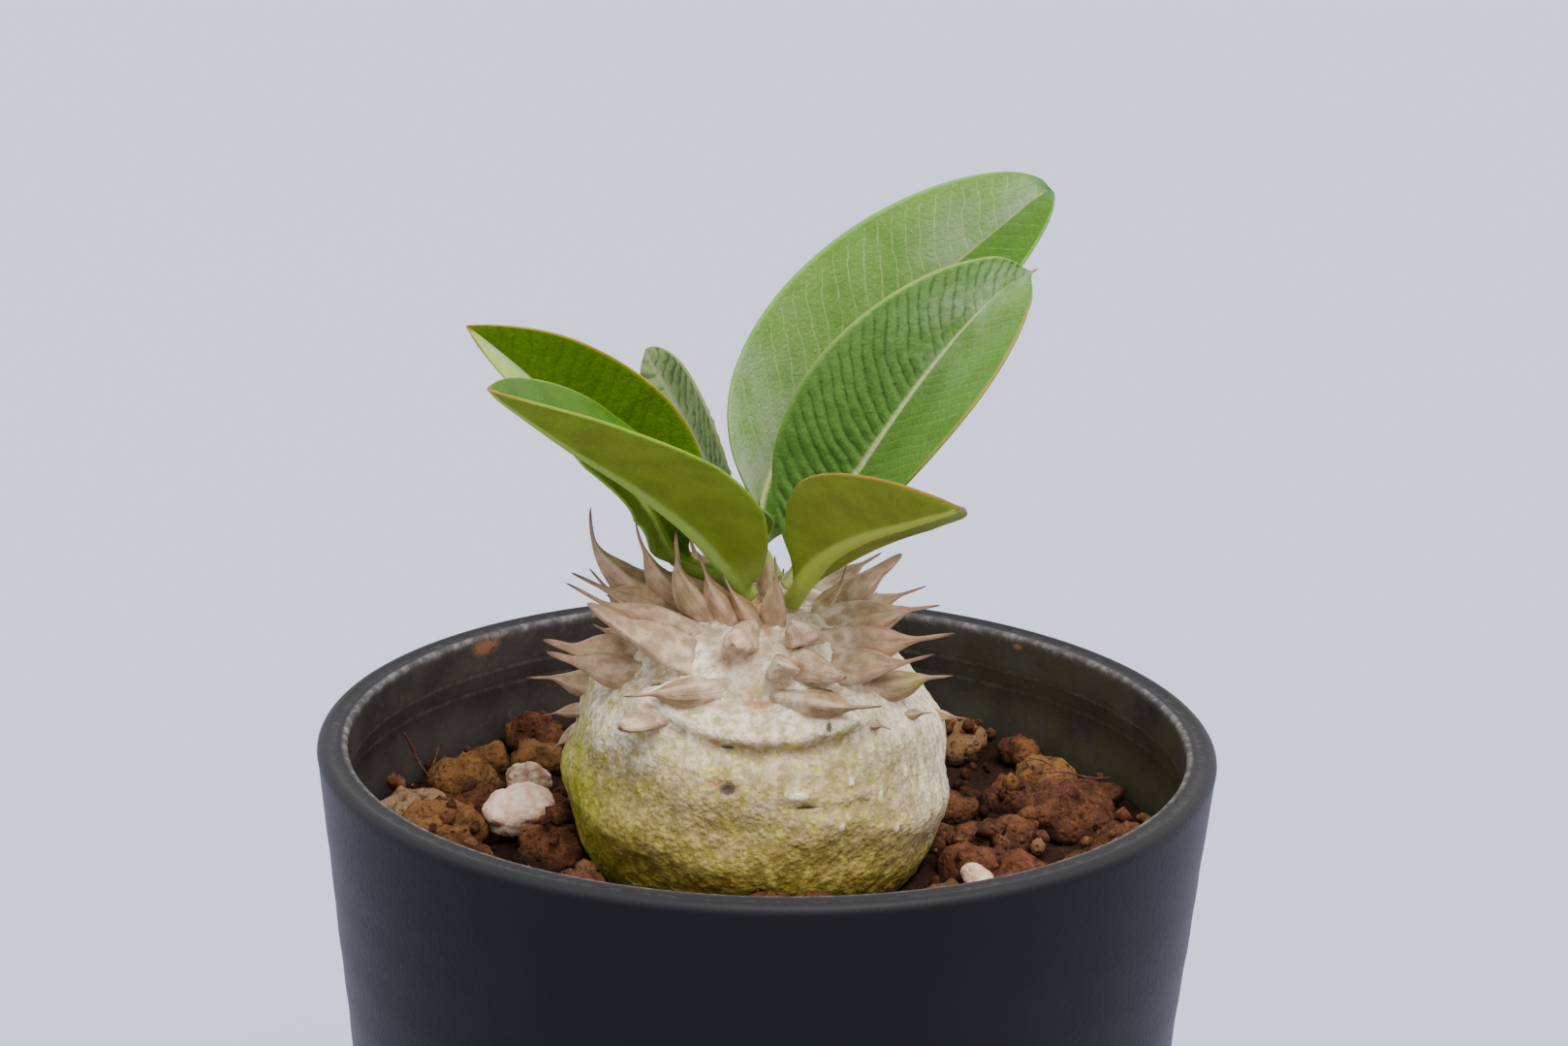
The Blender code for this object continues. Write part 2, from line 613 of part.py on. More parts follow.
def leaf_surface(rib, widest, petiole, fullness, roll, fold, u, v):
    """Middle surface of a leaf: each half leaves the rib at the fold angle, rolled about it."""
    place, along = curve_through(rib, u)
    place *= MM
    side = np.cross(along, (0.0, 0.0, 1.0))
    side /= np.linalg.norm(side, axis=1, keepdims=True)
    over = np.cross(side, along)
    turn = np.radians(roll[0] + (roll[1] - roll[0]) * u)[:, None]
    across = side * np.cos(turn) + over * np.sin(turn)
    upward = over * np.cos(turn) - side * np.sin(turn)
    width = half_width(u, widest, petiole, fullness)[:, None, None]
    bend = math.radians(fold)
    offset = (v[None, :, None] * math.cos(bend) * across[:, None]
              + np.abs(v)[None, :, None] * math.sin(bend) * upward[:, None])
    return place[:, None] + width * offset


def surface_normals(grid):
    """Unit normals of a grid of points, from its differences along and across."""
    along = np.gradient(grid, axis=0)
    across = np.gradient(grid, axis=1)
    normal = np.cross(across, along)
    return normal / np.linalg.norm(normal, axis=2, keepdims=True)


def plate_faces(rows, columns):
    """Faces of a plate: two like grids, split alike, and the strip round their edge."""
    count = rows * columns
    faces = []
    for i in range(rows - 1):
        for j in range(columns - 1):
            a = i * columns + j
            b, c, d = a + 1, a + columns + 1, a + columns
            faces += [(a, b, c), (a, c, d), (count + a, count + c, count + b),
                      (count + a, count + d, count + c)]
    edge = ([j for j in range(columns)]
            + [i * columns + columns - 1 for i in range(1, rows)]
            + [(rows - 1) * columns + j for j in range(columns - 2, -1, -1)]
            + [i * columns for i in range(rows - 2, 0, -1)])
    for a, b in zip(edge, edge[1:] + edge[:1]):
        faces.append((a, count + a, count + b, b))
    return faces


def add_leaf(name, rib, widest, petiole, fullness, roll, fold):
    """One leaf as a thin folded plate, thickened under its rib."""
    u = LEAF_END * (1 - (1 - np.linspace(0, 1, LEAF_ROWS)) ** TIP_CROWDING)
    v = np.linspace(-1, 1, 2 * LEAF_HALF_COLUMNS + 1)
    grid = leaf_surface(rib, widest, petiole, fullness, roll, fold, u, v)
    normal = surface_normals(grid)
    rib_share = np.maximum(1 - np.abs(v) / RIB_SHARE, 0)
    under = BLADE_THICKNESS / 2 + RIB_DEPTH * np.outer(1 - u, rib_share)
    upper = grid + normal * BLADE_THICKNESS / 2
    lower = grid - normal * under[..., None]
    points = np.concatenate([upper.reshape(-1, 3), lower.reshape(-1, 3)])
    finish = material(name, LEAF_COLOURS[name], 0.5)
    made = add_object(name, points, plate_faces(len(u), len(v)), finish)
    face_outward(made)
    return made


def main():
    """Builds every piece."""
    clear_scene()
    add_pot()
    add_soil(add_pumice())
    add_caudex()
    for name, shape in LEAVES.items():
        add_leaf(name, *shape)


main()
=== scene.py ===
"""Potted pachypodium: the finished skin, thorns, leaves, soil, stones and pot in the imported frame.

Metres, +Z up, -Y to the front. Tables are in millimetres and degrees. The pot's section and the
tables of the clods, stones, stem, folds, thorns and leaves are the solids' own, so that each finer
surface keeps the form of the solid that it stands for. Marks, rootlets and finishes are the scene's.
"""

import math

import bmesh
import bpy
import numpy as np
from mathutils import Matrix


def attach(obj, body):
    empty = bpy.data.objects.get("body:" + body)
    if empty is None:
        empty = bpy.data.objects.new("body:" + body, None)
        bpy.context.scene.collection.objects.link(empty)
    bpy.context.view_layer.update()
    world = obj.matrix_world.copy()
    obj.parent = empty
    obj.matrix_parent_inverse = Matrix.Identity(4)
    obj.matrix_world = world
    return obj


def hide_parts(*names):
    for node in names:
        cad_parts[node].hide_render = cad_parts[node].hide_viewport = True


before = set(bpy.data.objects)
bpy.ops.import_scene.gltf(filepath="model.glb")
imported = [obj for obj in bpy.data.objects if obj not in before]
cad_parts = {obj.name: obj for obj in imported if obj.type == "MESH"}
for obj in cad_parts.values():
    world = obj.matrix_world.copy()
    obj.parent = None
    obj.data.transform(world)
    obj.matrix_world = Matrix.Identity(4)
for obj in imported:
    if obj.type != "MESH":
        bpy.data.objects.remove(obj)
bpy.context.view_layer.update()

MM = 0.001

# Camera: a long lens that looks slightly down
CAMERA_LENS = 100.0
CAMERA_ELEVATION = 17.39
CAMERA_ROLL = 1.27
CAMERA_DISTANCE = 358.3 * MM
CAMERA_TARGET = (0.98 * MM, 0.0, 88.58 * MM)

# Studio
FLOOR_SIZE = 12.0
FLOOR_COLOUR = (0.52, 0.53, 0.66)
SKY_COLOUR = (0.86, 0.87, 0.92)
SKY_STRENGTH = 1.25
SUN_STRENGTH = 4.2
SUN_SPREAD = 42.0
SUN_FROM = (0.25, -0.40, 1.0)

# Pot
POT_HEIGHT = 70.0 * MM
RIM_RADIUS = 37.5 * MM
WALL_SLOPE = math.tan(math.radians(5.9))
LIP_WIDTH = 2.6 * MM
LIP_DEPTH = 4.0 * MM
WALL_THICKNESS = 1.5 * MM
FLOOR_THICKNESS = 1.4 * MM
FOOT_HEIGHT = 1.4 * MM
FOOT_WIDTH = 3.2 * MM
EDGE_ROUND = 0.6 * MM
POT_SIDES = 192
WALL_WAVE = 0.05 * MM
DRAIN_RADIUS = 3.0 * MM
DRAIN_CIRCLE = 17.0 * MM
DRAIN_COUNT = 6
# Heights of the faint light lines on the inside of the wall, at the edges of the step below the lip:
# partly dust, partly a painted highlight where the step catches the light
RING_LINES = (POT_HEIGHT - LIP_DEPTH + 0.4 * MM, POT_HEIGHT - LIP_DEPTH - 1.4 * MM)

# Soil: the clods where the solid has them, and the crumbs that fill in between
GAP = 0.3 * MM
SOIL_LEVEL = 59.4 * MM
SOIL_SIDES = 96
CLOD_SEED = 7
CLOD_SIZES = ((3.8 * MM, 12), (3.1 * MM, 20), (2.5 * MM, 34))
CLOD_CROWDING = 0.84
# In shares of a clod's radius: how far its centre keeps from stem and wall, how deep it crumbles,
# and how wide its crags are
CLOD_MARGIN = 0.55
CLOD_CRUMBLE = 0.30
CLOD_CRAGS = 0.50
CLOD_ROUGHNESS = 0.16
CLOD_FLATNESS = 0.8
CLOD_TRIES = 4000
CRUMB_SEED = 23
CRUMB_COUNT = 620
CRUMB_SIZES = (0.25 * MM, 1.0 * MM)
CRUMB_ROUGHNESS = 0.3
CRUMB_MARGIN = 0.6 * MM
# The bed under them: the height and width of its lumps, and its distance from the root
BED_ROUGHNESS = 0.45 * MM
BED_LUMP = 1.6 * MM
ROOT_GAP = 0.45 * MM
# Places where the clods are ochre instead of red-brown, and where one is pale tan
OCHRE_SPOTS = ((-26.2, 11.8), (-22.0, 18.8), (-26.6, 1.0), (16.5, 25.0), (24.6, 15.8), (8.0, 29.0),
               (-6.0, 27.0))
TAN_SPOTS = ((-30.8, 5.4), (14.5, 27.6))
SPOT_REACH = 3.0 * MM

# Rootlets on the soil: points that each passes through, and its radius
ROOTLETS = (
    (((-31.4, 10.8, 65.6), (-30.8, 11.2, 64.2), (-30.2, 11.4, 62.6), (-29.0, 11.0, 61.2)), 0.13),
    (((-28.6, 13.6, 63.4), (-28.9, 13.0, 62.2), (-29.4, 12.2, 61.0)), 0.11),
    (((-29.4, 1.6, 61.4), (-28.2, 0.4, 62.0), (-26.8, 0.0, 61.6)), 0.20),
    (((23.6, 9.4, 63.6), (25.6, 9.0, 63.9), (27.8, 9.6, 63.2), (29.8, 11.4, 62.6)), 0.09),
    (((22.6, 12.6, 63.8), (24.0, 11.2, 64.0), (25.0, 9.8, 63.6)), 0.07),
)
ROOTLET_SIDES = 10
ROOTLET_ROWS = 26

# Pumice stones: centre, the three half-sizes, and how far soil clings to the stone
PUMICE = {
    "pumice_large": ((-20.8, 2.4, 61.9), (3.0, 2.3, 1.9), 0.10),
    "pumice_small": ((-20.6, 9.8, 61.6), (2.0, 1.6, 1.5), 0.80),
    "pumice_front": ((17.4, -8.4, 60.9), (1.6, 1.3, 1.1), 0.30),
}
PUMICE_SEED = 3
PUMICE_ROUGHNESS = 0.14
# How deep the finer pits of a stone are, and how wide
PUMICE_PITTING = 0.42 * MM
PUMICE_CRAGS = 1.5 * MM
# The share of a stone's half-width that the clods leave free
PUMICE_ROOM = 0.75

# Stem: its axis, its section, and the folds in its skin
STEM_X = -0.8 * MM
STEM_PROFILE = (
    (0.0, 30.0), (1.3, 31.5), (2.0, 38.0), (3.2, 45.0), (5.4, 50.0), (10.0, 55.0), (14.1, 60.0),
    (15.9, 64.5), (16.0, 67.5), (15.2, 71.3), (14.2, 73.8), (12.3, 76.0), (10.0, 78.0),
    (7.6, 80.2), (5.0, 81.5), (2.5, 81.9), (0.0, 81.9),
)
STEM_SHOULDER = 66.5 * MM
SKIN_ROWS = 176
SKIN_SIDES = 400
ROW_DENSITY = ((30, 0.3), (56, 0.4), (59, 2.0), (82, 2.4))
# Folds, and soft swellings beside the main one: azimuth, half-spread in degrees, height, how much
# the height rises towards the ends, half-height and amount
SKIN_FOLDS = (
    (-84, 40, 73.3, 1.3, 0.75, -1.1),
    (-95, 30, 74.9, 0.3, 0.90, 0.8),
    (-102, 26, 76.6, 0.3, 0.60, -0.6),
    (-58, 10, 75.6, 0.0, 1.10, 0.7),
    (-66, 20, 69.0, 0.2, 0.60, -0.3),
    (80, 60, 72.0, 0.8, 1.00, -0.7),
    (75, 50, 73.8, 0.5, 0.90, 0.4),
)
SKIN_SWELLS = ((-129, 12, 75.3, 0.0, 1.7, 1.9), (-57, 12, 75.2, 0.0, 1.5, 1.2),
               (-95, 24, 78.6, 0.0, 1.0, 0.35))
# The skin's pebbles: their height and width, and the factor on heights that makes them taller
PEBBLE_HEIGHT = 0.085 * MM
PEBBLE_SIZE = 0.62 * MM
PEBBLE_STRETCH = 0.78
# Azimuth and spread in degrees of the moss at the left and of the streaks at the right
MOSS_SIDE = (192, 24)
STREAK_SIDE = (-14, 17)
# Where the skin starts to pale, over what height, and the side where it pales last: there, at the front
# under the main fold, it is darker as painted shade, and towards the sides it is lighter as painted
# light
PALING_FROM = 60 * MM
PALING_SPAN = 22 * MM
PAINTED_SHADE_SIDE = math.radians(-85)
# Marks on the skin: how far each kind stands out, or is sunk where it is below zero, and for each
# mark its azimuth, height, half-width and half-height
MARKS = {
    # The second scar, thin, just right of and below the first pale fleck, is that fleck's shadow,
    # painted dark and sunk.
    "scar": (-0.40, ((-98.5, 70.9, 0.85, 0.50), (-74.6, 69.4, 1.0, 0.16), (-100.5, 73.8, 0.9, 0.16),
                     (-134, 76.6, 1.0, 0.30), (-66.0, 75.2, 0.25, 0.4))),
    "rust": (-0.15, ((-102.8, 71.3, 0.7, 0.30), (-90.0, 76.7, 1.5, 0.24), (-104.8, 74.1, 0.7, 0.35),
                     (-122.0, 77.2, 1.4, 0.35), (-86.0, 81.6, 0.9, 0.7))),
    "pale": (0.30, ((-77.4, 70.3, 0.95, 0.36), (-64.6, 67.6, 0.30, 0.4), (-60.0, 71.0, 0.3, 0.4),
                    (-50.0, 69.4, 0.3, 0.5), (-45.0, 66.4, 0.3, 0.5), (-38.0, 70.4, 0.3, 0.6))),
    "lichen": (0.15, ((-78.7, 74.1, 0.9, 0.45), (-104.1, 72.1, 1.1, 0.40), (-90.4, 77.5, 0.6, 0.45),
                      (-120.0, 72.6, 0.7, 0.5), (-128.0, 69.5, 0.6, 0.7), (-63.0, 74.4, 0.5, 0.3))),
}

# Thorns: azimuth, distance of the root from the stem's axis, the tip, bow, girth and bluntness
FRONT_THORNS = (
    (176, 7.5, -15.0, 1.0, 89.3, 2.6, 1.5, 0.0),
    (-174, 5.8, -11.2, -0.8, 88.7, 1.6, 1.4, 0.0),
    (-144, 5.4, -7.8, -3.5, 89.0, 1.6, 1.3, 0.0),
    (-122, 4.9, -6.0, -5.0, 87.6, 0.6, 1.3, 0.0),
    (-100, 4.8, -4.0, -5.4, 86.0, 0.2, 1.1, 0.0),
    (-76, 5.0, 0.3, -5.6, 87.6, 0.2, 1.0, 0.0),
    (70, 0.6, -1.1, 0.2, 90.5, 0.0, 0.6, 0.0),
    (-59, 1.1, -0.4, -1.1, 89.2, 0.0, 0.5, 0.0),
    (164, 9.6, -15.2, 3.5, 83.2, 0.4, 1.2, 0.0),
    (-176, 7.2, -16.5, -1.5, 84.4, 0.2, 1.6, 0.0),
    (-146, 7.6, -16.7, -6.0, 85.0, 0.2, 1.6, 0.0),
    (-131, 9.0, -14.8, -8.2, 84.0, 0.2, 1.6, 0.5),
    (-168, 10.8, -18.6, -4.2, 79.4, 0.3, 1.6, 0.2),
    (-158, 11.4, -18.2, -6.6, 79.2, 0.2, 1.4, 0.2),
    (-179, 14.0, -20.3, 0.0, 74.6, -0.3, 1.15, 0.0),
    (-178, 15.0, -19.0, -0.5, 71.4, 0.0, 0.6, 0.0),
    (-179, 15.6, -18.3, -0.3, 68.1, 0.0, 0.5, 0.0),
    (-112, 10.6, -11.6, -13.6, 78.0, 0.8, 1.3, 0.0),
    (-127, 12.4, -11.8, -13.8, 75.4, 0.4, 1.4, 0.9),
    (-73, 11.3, 9.2, -14.0, 77.8, 0.8, 1.3, 0.0),
    (-48, 13.4, 10.0, -11.8, 75.0, 0.0, 0.6, 0.0),
    (-28, 13.8, 13.4, -8.0, 75.2, 0.0, 0.6, 0.0),
    (-32, 11.6, 15.1, -7.4, 78.2, 0.2, 1.3, 0.0),
    (-46, 9.6, 13.5, -9.6, 80.8, 0.2, 1.5, 0.0),
    (-38, 8.2, 15.2, -7.2, 81.8, 0.2, 1.7, 0.0),
    (-22, 6.8, 14.0, -3.4, 82.9, 0.2, 1.6, 0.0),
    (16, 7.6, 13.0, 2.8, 82.5, 0.2, 1.2, 0.0),
    (2, 6.2, 10.8, 0.5, 86.0, 0.3, 1.3, 0.5),
    (-14, 5.1, 6.2, -1.6, 85.6, 0.3, 0.9, 0.0),
    (-66, 8.8, 6.2, -12.4, 79.6, 0.3, 1.4, 0.6),
    (-100, 6.6, -3.0, -10.6, 81.6, 0.4, 1.3, 1.0),
    (-58, 6.9, 1.8, -9.2, 83.0, 0.4, 1.4, 1.0),
    (-78, 9.0, 0.8, -13.0, 80.8, 0.4, 1.2, 1.0),
    (-4, 14.8, 16.8, -1.0, 72.2, 0.0, 0.5, 0.0),
)
# The back's rule: each "per" is what a millimetre further out takes off
GOLDEN_ANGLE = 137.5
BACK_SEED = 11
BACK_PAIRS = 34
BACK_FROM, BACK_TO = 28.0, 158.0
BACK_NEAREST, BACK_SPAN = 5.4, 10.0
BACK_LENGTH, BACK_LENGTH_PER = 9.2, 0.45
BACK_RISE, BACK_RISE_PER = 7.0, 0.45
BACK_GIRTH, BACK_GIRTH_PER = 1.75, 0.07
BACK_BOW = 0.5
BACK_ROOT_SPREAD = 60.0
PAIR_SPREAD = 15.0
THORN_SINK = 1.8 * MM
THORN_WIDE, THORN_DEEP = 1.12, 0.88
THORN_SIDES = 22
THORN_RINGS = 30
THORN_SEED = 31
# The factor on the bow in the table, and how far a thorn kinks, in shares of its girth
THORN_BOW = 1.2
THORN_KINK = 0.5
# How sharply a thorn bends at its middle: 1 is a plain quadratic curve
THORN_BEND = 2.0
# How far the skin swells round a thorn's root, and over what reach
ROOT_SWELL = 0.75 * MM
ROOT_REACH = 1.9 * MM

# Leaves: points that the rib passes through, half-width, petiole's end, fullness towards base and
# tip, roll at base and tip, and fold
LEAVES = {
    "leaf_tall_back": (
        ((0.5, 2.1, 83.0), (-1.5, 5.0, 87.3), (1.4, 8.4, 93.8), (9.4, 11.9, 102.7),
         (22.8, 15.6, 113.8)),
        9.8, 0.13, (0.80, 0.57), (-64, -52), 41),
    "leaf_tall_front": (
        ((1.6, 0.0, 82.8), (7.5, -0.6, 93.9), (12.9, 0.3, 102.2), (17.7, 2.7, 107.4),
         (21.3, 6.5, 108.9)),
        10.0, 0.03, (0.95, 1.66), (-67, -44), 51),
    "leaf_low_right": (
        ((1.8, -2.3, 82.8), (4.2, -7.0, 87.8), (7.3, -11.4, 91.2), (10.9, -15.8, 93.8),
         (14.6, -20.6, 96.5)),
        6.9, 0.04, (1.25, 1.10), (28, 28), 24),
    "leaf_upper_left": (
        ((-2.6, 1.3, 83.3), (-7.7, 5.4, 83.5), (-11.1, 6.4, 88.3), (-15.8, 6.0, 93.6),
         (-20.4, 5.4, 98.9), (-25.6, 4.8, 103.5)),
        7.6, 0.15, (0.85, 0.90), (33, 63), 49),
    "leaf_lower_left": (
        ((-1.6, -1.8, 82.8), (-5.9, -3.2, 88.4), (-10.9, -6.3, 93.3), (-16.5, -11.4, 98.4),
         (-22.1, -18.8, 104.7)),
        8.8, 0.03, (0.68, 0.86), (-12, 18), 30),
    "leaf_small": (
        ((-1.4, 3.1, 82.9), (-3.5, 8.8, 86.2), (-5.7, 13.7, 89.8), (-8.3, 18.0, 93.5),
         (-11.3, 22.0, 97.2)),
        4.8, 0.05, (0.75, 0.70), (88, 78), 16),
}
# A blade is thinner here than the solid's, and its rib stands out further below
BLADE_THICKNESS = 0.55 * MM
MARGIN_THICKNESS = 0.22 * MM
RIB_DEPTH = 0.75 * MM
RIB_HEIGHT = 0.05 * MM
RIB_HALF_WIDTH = 0.85 * MM
RIB_TAPER = 0.72
# How far the side veins rake to the tip, at first and near the margin, and how sharp they are
VEIN_RAKE = (0.58, 0.08)
VEIN_SHARPNESS = 1.5
CRINKLE_SIZES = (0.55 * MM, 0.30 * MM)
MARGIN_WAVE = 0.16 * MM
PETIOLE_HALF_WIDTH = 0.7 * MM
TIP_HALF_WIDTH = 0.2 * MM
LEAF_END = 0.997
LEAF_ROWS = 200
LEAF_COLUMNS = 61
# How much closer together the rows are at the tip, and the columns at the rib
TIP_CROWDING = 1.5
RIB_CROWDING = 1.25
# Each leaf's finish. Pairs are for the halves left and right of the rib: the relief of the side
# veins in millimetres (below zero is sunken), the upper side's green, the veins' colour, strength
# and how soon they show, and the margin. On leaf_tall_back and leaf_upper_left the two greens
# differ partly as painted light: the half in the light lighter, the other darker. Where the veins'
# colour is darker than the green, it is painted shade in the sunken veins. Bloom and sheen are the
# strength of the pale film low and high up, and how much of it the right half has: partly a waxy
# bloom, partly painted sheen along the rib and towards the tip.
LEAF_LOOKS = {
    # Its right half's darker green is partly painted shade.
    "leaf_tall_back": dict(
        slot="leaf_light", gloss=0.22, veins=29, relief=(-0.03, -0.02),
        green=((0.205, 0.360, 0.074), (0.070, 0.175, 0.012)),
        vein=((0.48, 0.58, 0.22), (0.18, 0.34, 0.05)), strength=(0.70, 0.45),
        onset=(0.435, 0.43), under=(0.20, 0.30, 0.06),
        edge=((0.16, 0.34, 0.05), (0.14, 0.30, 0.04)), rib=(0.52, 0.56, 0.22),
        tip=(0.08, 0.20, 0.07), bloom_and_sheen=(1.0, 0.80, 0.10)),
    "leaf_tall_front": dict(
        slot="leaf_dark", gloss=0.22, veins=31, relief=(-0.22, -0.04),
        green=((0.150, 0.285, 0.062), (0.110, 0.230, 0.036)),
        vein=((0.032, 0.085, 0.014), (0.22, 0.36, 0.10)), strength=(0.52, 0.50),
        onset=(0.30, 0.41), under=(0.16, 0.25, 0.05),
        edge=((0.21, 0.31, 0.05), (0.30, 0.18, 0.03)), rib=(0.66, 0.68, 0.36),
        tip=(0.32, 0.17, 0.10), bloom_and_sheen=(0.0, 0.85, 0.80)),
    "leaf_low_right": dict(
        slot="leaf_olive", gloss=0.12, veins=20, relief=(0.02, 0.02),
        green=((0.14, 0.24, 0.02), (0.12, 0.20, 0.015)),
        vein=((0.20, 0.28, 0.03), (0.20, 0.28, 0.03)), strength=(0.20, 0.20),
        onset=(0.42, 0.42), under=(0.185, 0.230, 0.016),
        edge=((0.24, 0.11, 0.015), (0.26, 0.115, 0.018)), rib=(0.36, 0.42, 0.055),
        tip=(0.15, 0.080, 0.025), bloom_and_sheen=(0.0, 0.0, 0.0)),
    # The left half's bright yellow-green is partly painted light on the near half, which lies in shade
    # under leaf_lower_left.
    "leaf_upper_left": dict(
        slot="leaf_olive", gloss=0.10, veins=24, relief=(-0.04, -0.08),
        green=((0.40, 0.49, 0.11), (0.088, 0.170, 0.001)),
        vein=((0.30, 0.42, 0.05), (0.036, 0.090, 0.001)), strength=(0.20, 0.36),
        onset=(0.44, 0.36), under=(0.24, 0.37, 0.05),
        edge=((0.24, 0.33, 0.06), (0.27, 0.16, 0.008)), rib=(0.26, 0.40, 0.05),
        tip=(0.19, 0.13, 0.02), bloom_and_sheen=(0.0, 1.0, 0.0)),
    "leaf_lower_left": dict(
        slot="leaf_olive", gloss=0.10, veins=26, relief=(0.02, 0.02),
        green=((0.09, 0.19, 0.010), (0.060, 0.150, 0.001)),
        vein=((0.18, 0.28, 0.02), (0.13, 0.26, 0.01)), strength=(0.25, 0.25),
        onset=(0.44, 0.44), under=(0.175, 0.240, 0.018),
        edge=((0.23, 0.30, 0.035), (0.20, 0.30, 0.02)), rib=(0.30, 0.43, 0.08),
        tip=(0.26, 0.13, 0.02), bloom_and_sheen=(0.0, 0.0, 0.0)),
    "leaf_small": dict(
        slot="leaf_dark", gloss=0.20, veins=17, relief=(-0.20, -0.24),
        green=((0.23, 0.30, 0.11), (0.200, 0.280, 0.080)),
        vein=((0.060, 0.100, 0.022), (0.045, 0.080, 0.018)), strength=(0.70, 0.75),
        onset=(0.28, 0.28), under=(0.16, 0.22, 0.08),
        edge=((0.24, 0.22, 0.12), (0.22, 0.19, 0.10)), rib=(0.30, 0.37, 0.16),
        tip=(0.20, 0.20, 0.10), bloom_and_sheen=(0.1, 0.1, 1.0)),
}


# Numbers, curves and noise

def smooth(value, low, high):
    """Eased share from 0 at low to 1 at high: t squared times three less two t."""
    t = np.clip((value - low) / (high - low), 0, 1)
    return t * t * (3 - 2 * t)


def noise(points, size, seed):
    """Random field from -1 to 1 on the points: seeded values on a lattice, eased in between."""
    values = np.random.default_rng(seed).uniform(-1, 1, 8192)
    cell = points / size + 1000.0
    low = np.floor(cell).astype(np.int64)
    share = cell - low
    share = share * share * (3 - 2 * share)
    total = np.zeros(points.shape[:-1])
    for corner in range(8):
        step = np.array([corner & 1, corner >> 1 & 1, corner >> 2 & 1])
        key = (low + step) * np.array([73856093, 19349663, 83492791])
        place = (key[..., 0] ^ key[..., 1] ^ key[..., 2]) % len(values)
        weight = np.where(step == 1, share, 1 - share).prod(axis=-1)
        total += weight * values[place]
    return total


def rough(points, size, seed, octaves=3):
    """Sum of noise fields, each half the size and half the strength of the one before."""
    total = 0.0
    for octave in range(octaves):
        total = total + noise(points, size / 2 ** octave, seed + octave) / 2 ** octave
    return total


def curve_through(points, u):
    """Points and directions on a Catmull-Rom curve through the given ones, at shares u of it."""
    given = np.array(points, dtype=float)
    ends = np.concatenate([given[:1] * 2 - given[1:2], given, given[-1:] * 2 - given[-2:-1]])
    spans = len(given) - 1
    place = u * spans
    first = np.minimum(place.astype(int), spans - 1)
    t = (place - first)[:, None]
    a, b, c, d = (ends[first + k] for k in range(4))
    bend = 2 * a - 5 * b + 4 * c - d
    twist = 3 * b - a - 3 * c + d
    point = 0.5 * (2 * b + (c - a) * t + bend * t ** 2 + twist * t ** 3)
    along = (c - a) + 2 * bend * t + 3 * twist * t ** 2
    return point, along / np.linalg.norm(along, axis=1, keepdims=True)


def unit(vectors):
    """Vectors scaled to length one."""
    return vectors / np.linalg.norm(vectors, axis=-1, keepdims=True)


def around(count):
    """Angles evenly spaced over a full turn."""
    return np.arange(count) * 2 * math.pi / count


def stacked(*parts):
    """Vectors made of the given numbers, each spread to the shape of them all."""
    return np.stack(np.broadcast_arrays(*parts), axis=-1)


def degrees_from(azimuth, angle):
    """Degrees from an azimuth to an angle in radians, the short way round."""
    return (np.degrees(angle) - azimuth + 180) % 360 - 180


def sideways(along, up=(0.0, 0.0, 1.0)):
    """Directions to the side of a curve and over it, square to each other and to the curve."""
    side = unit(np.cross(along, up))
    return side, np.cross(side, along)


# Meshes

def ring_faces(rows, sides):
    """Quads of a stack of closed rings, as rows of point numbers."""
    row, k = np.meshgrid(np.arange(rows - 1), np.arange(sides), indexing="ij")
    low = row * sides
    following = (k + 1) % sides
    quads = np.stack([low + k, low + following, low + sides + following, low + sides + k], axis=-1)
    return quads.reshape(-1, 4)


def closed_stack(rings):
    """Points and faces of a stack of rings, each end closed by a fan about its middle."""
    rows, sides = rings.shape[:2]
    k = np.arange(sides)
    following = (k + 1) % sides
    last = (rows - 1) * sides
    first_fan = stacked(following, k, rows * sides)
    last_fan = stacked(last + k, last + following, rows * sides + 1)
    return with_ends(rings), ring_faces(rows, sides), np.concatenate([first_fan, last_fan])


def with_ends(values):
    """Values on a stack's rings as one list, with the mean of each end ring for its middle."""
    flat = values.reshape(-1, *values.shape[2:])
    return np.concatenate([flat, values[0].mean(axis=0)[None], values[-1].mean(axis=0)[None]])


def stack_with(rings, layers):
    """Points and faces of a stack of rings, and the layers that lie on its points."""
    return closed_stack(rings), {label: with_ends(values) for label, values in layers.items()}


def tube(centre, side, over, wide, deep):
    """Rings about a curve: so wide to its side and so deep over it."""
    return centre[:, None] + wide[..., None] * side[:, None] + deep[..., None] * over[:, None]


def joined(parts):
    """One list of points and faces from many (points, quads, triangles)."""
    points, quads, triangles = [], [], []
    count = 0
    for part_points, part_quads, part_triangles in parts:
        points.append(part_points)
        quads.append(np.asarray(part_quads, dtype=int).reshape(-1, 4) + count)
        triangles.append(np.asarray(part_triangles, dtype=int).reshape(-1, 3) + count)
        count += len(part_points)
    return np.concatenate(points), np.concatenate(quads), np.concatenate(triangles)


def placed(name, data):
    """A new object in the scene."""
    made = bpy.data.objects.new(name, data)
    bpy.context.scene.collection.objects.link(made)
    return made


def add_piece(name, shape, finish, node, layers=None):
    """Makes a smooth piece that rides on the part and stands for a node.

    Layers are values per point that the material reads, one number or three each.
    """
    points, quads, triangles = shape
    mesh = bpy.data.meshes.new(name)
    mesh.from_pydata(points.tolist(), [], quads.tolist() + triangles.tolist())
    mesh.shade_smooth()
    for label, values in (layers or {}).items():
        values = np.asarray(values, dtype=np.float32)
        kind, key = ("FLOAT", "value") if values.ndim == 1 else ("FLOAT_VECTOR", "vector")
        mesh.attributes.new(label, kind, "POINT").data.foreach_set(key, values.ravel())
    mesh.materials.append(finish)
    piece = placed(name, mesh)
    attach(piece, "root")
    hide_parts(node)
    return piece


# Materials

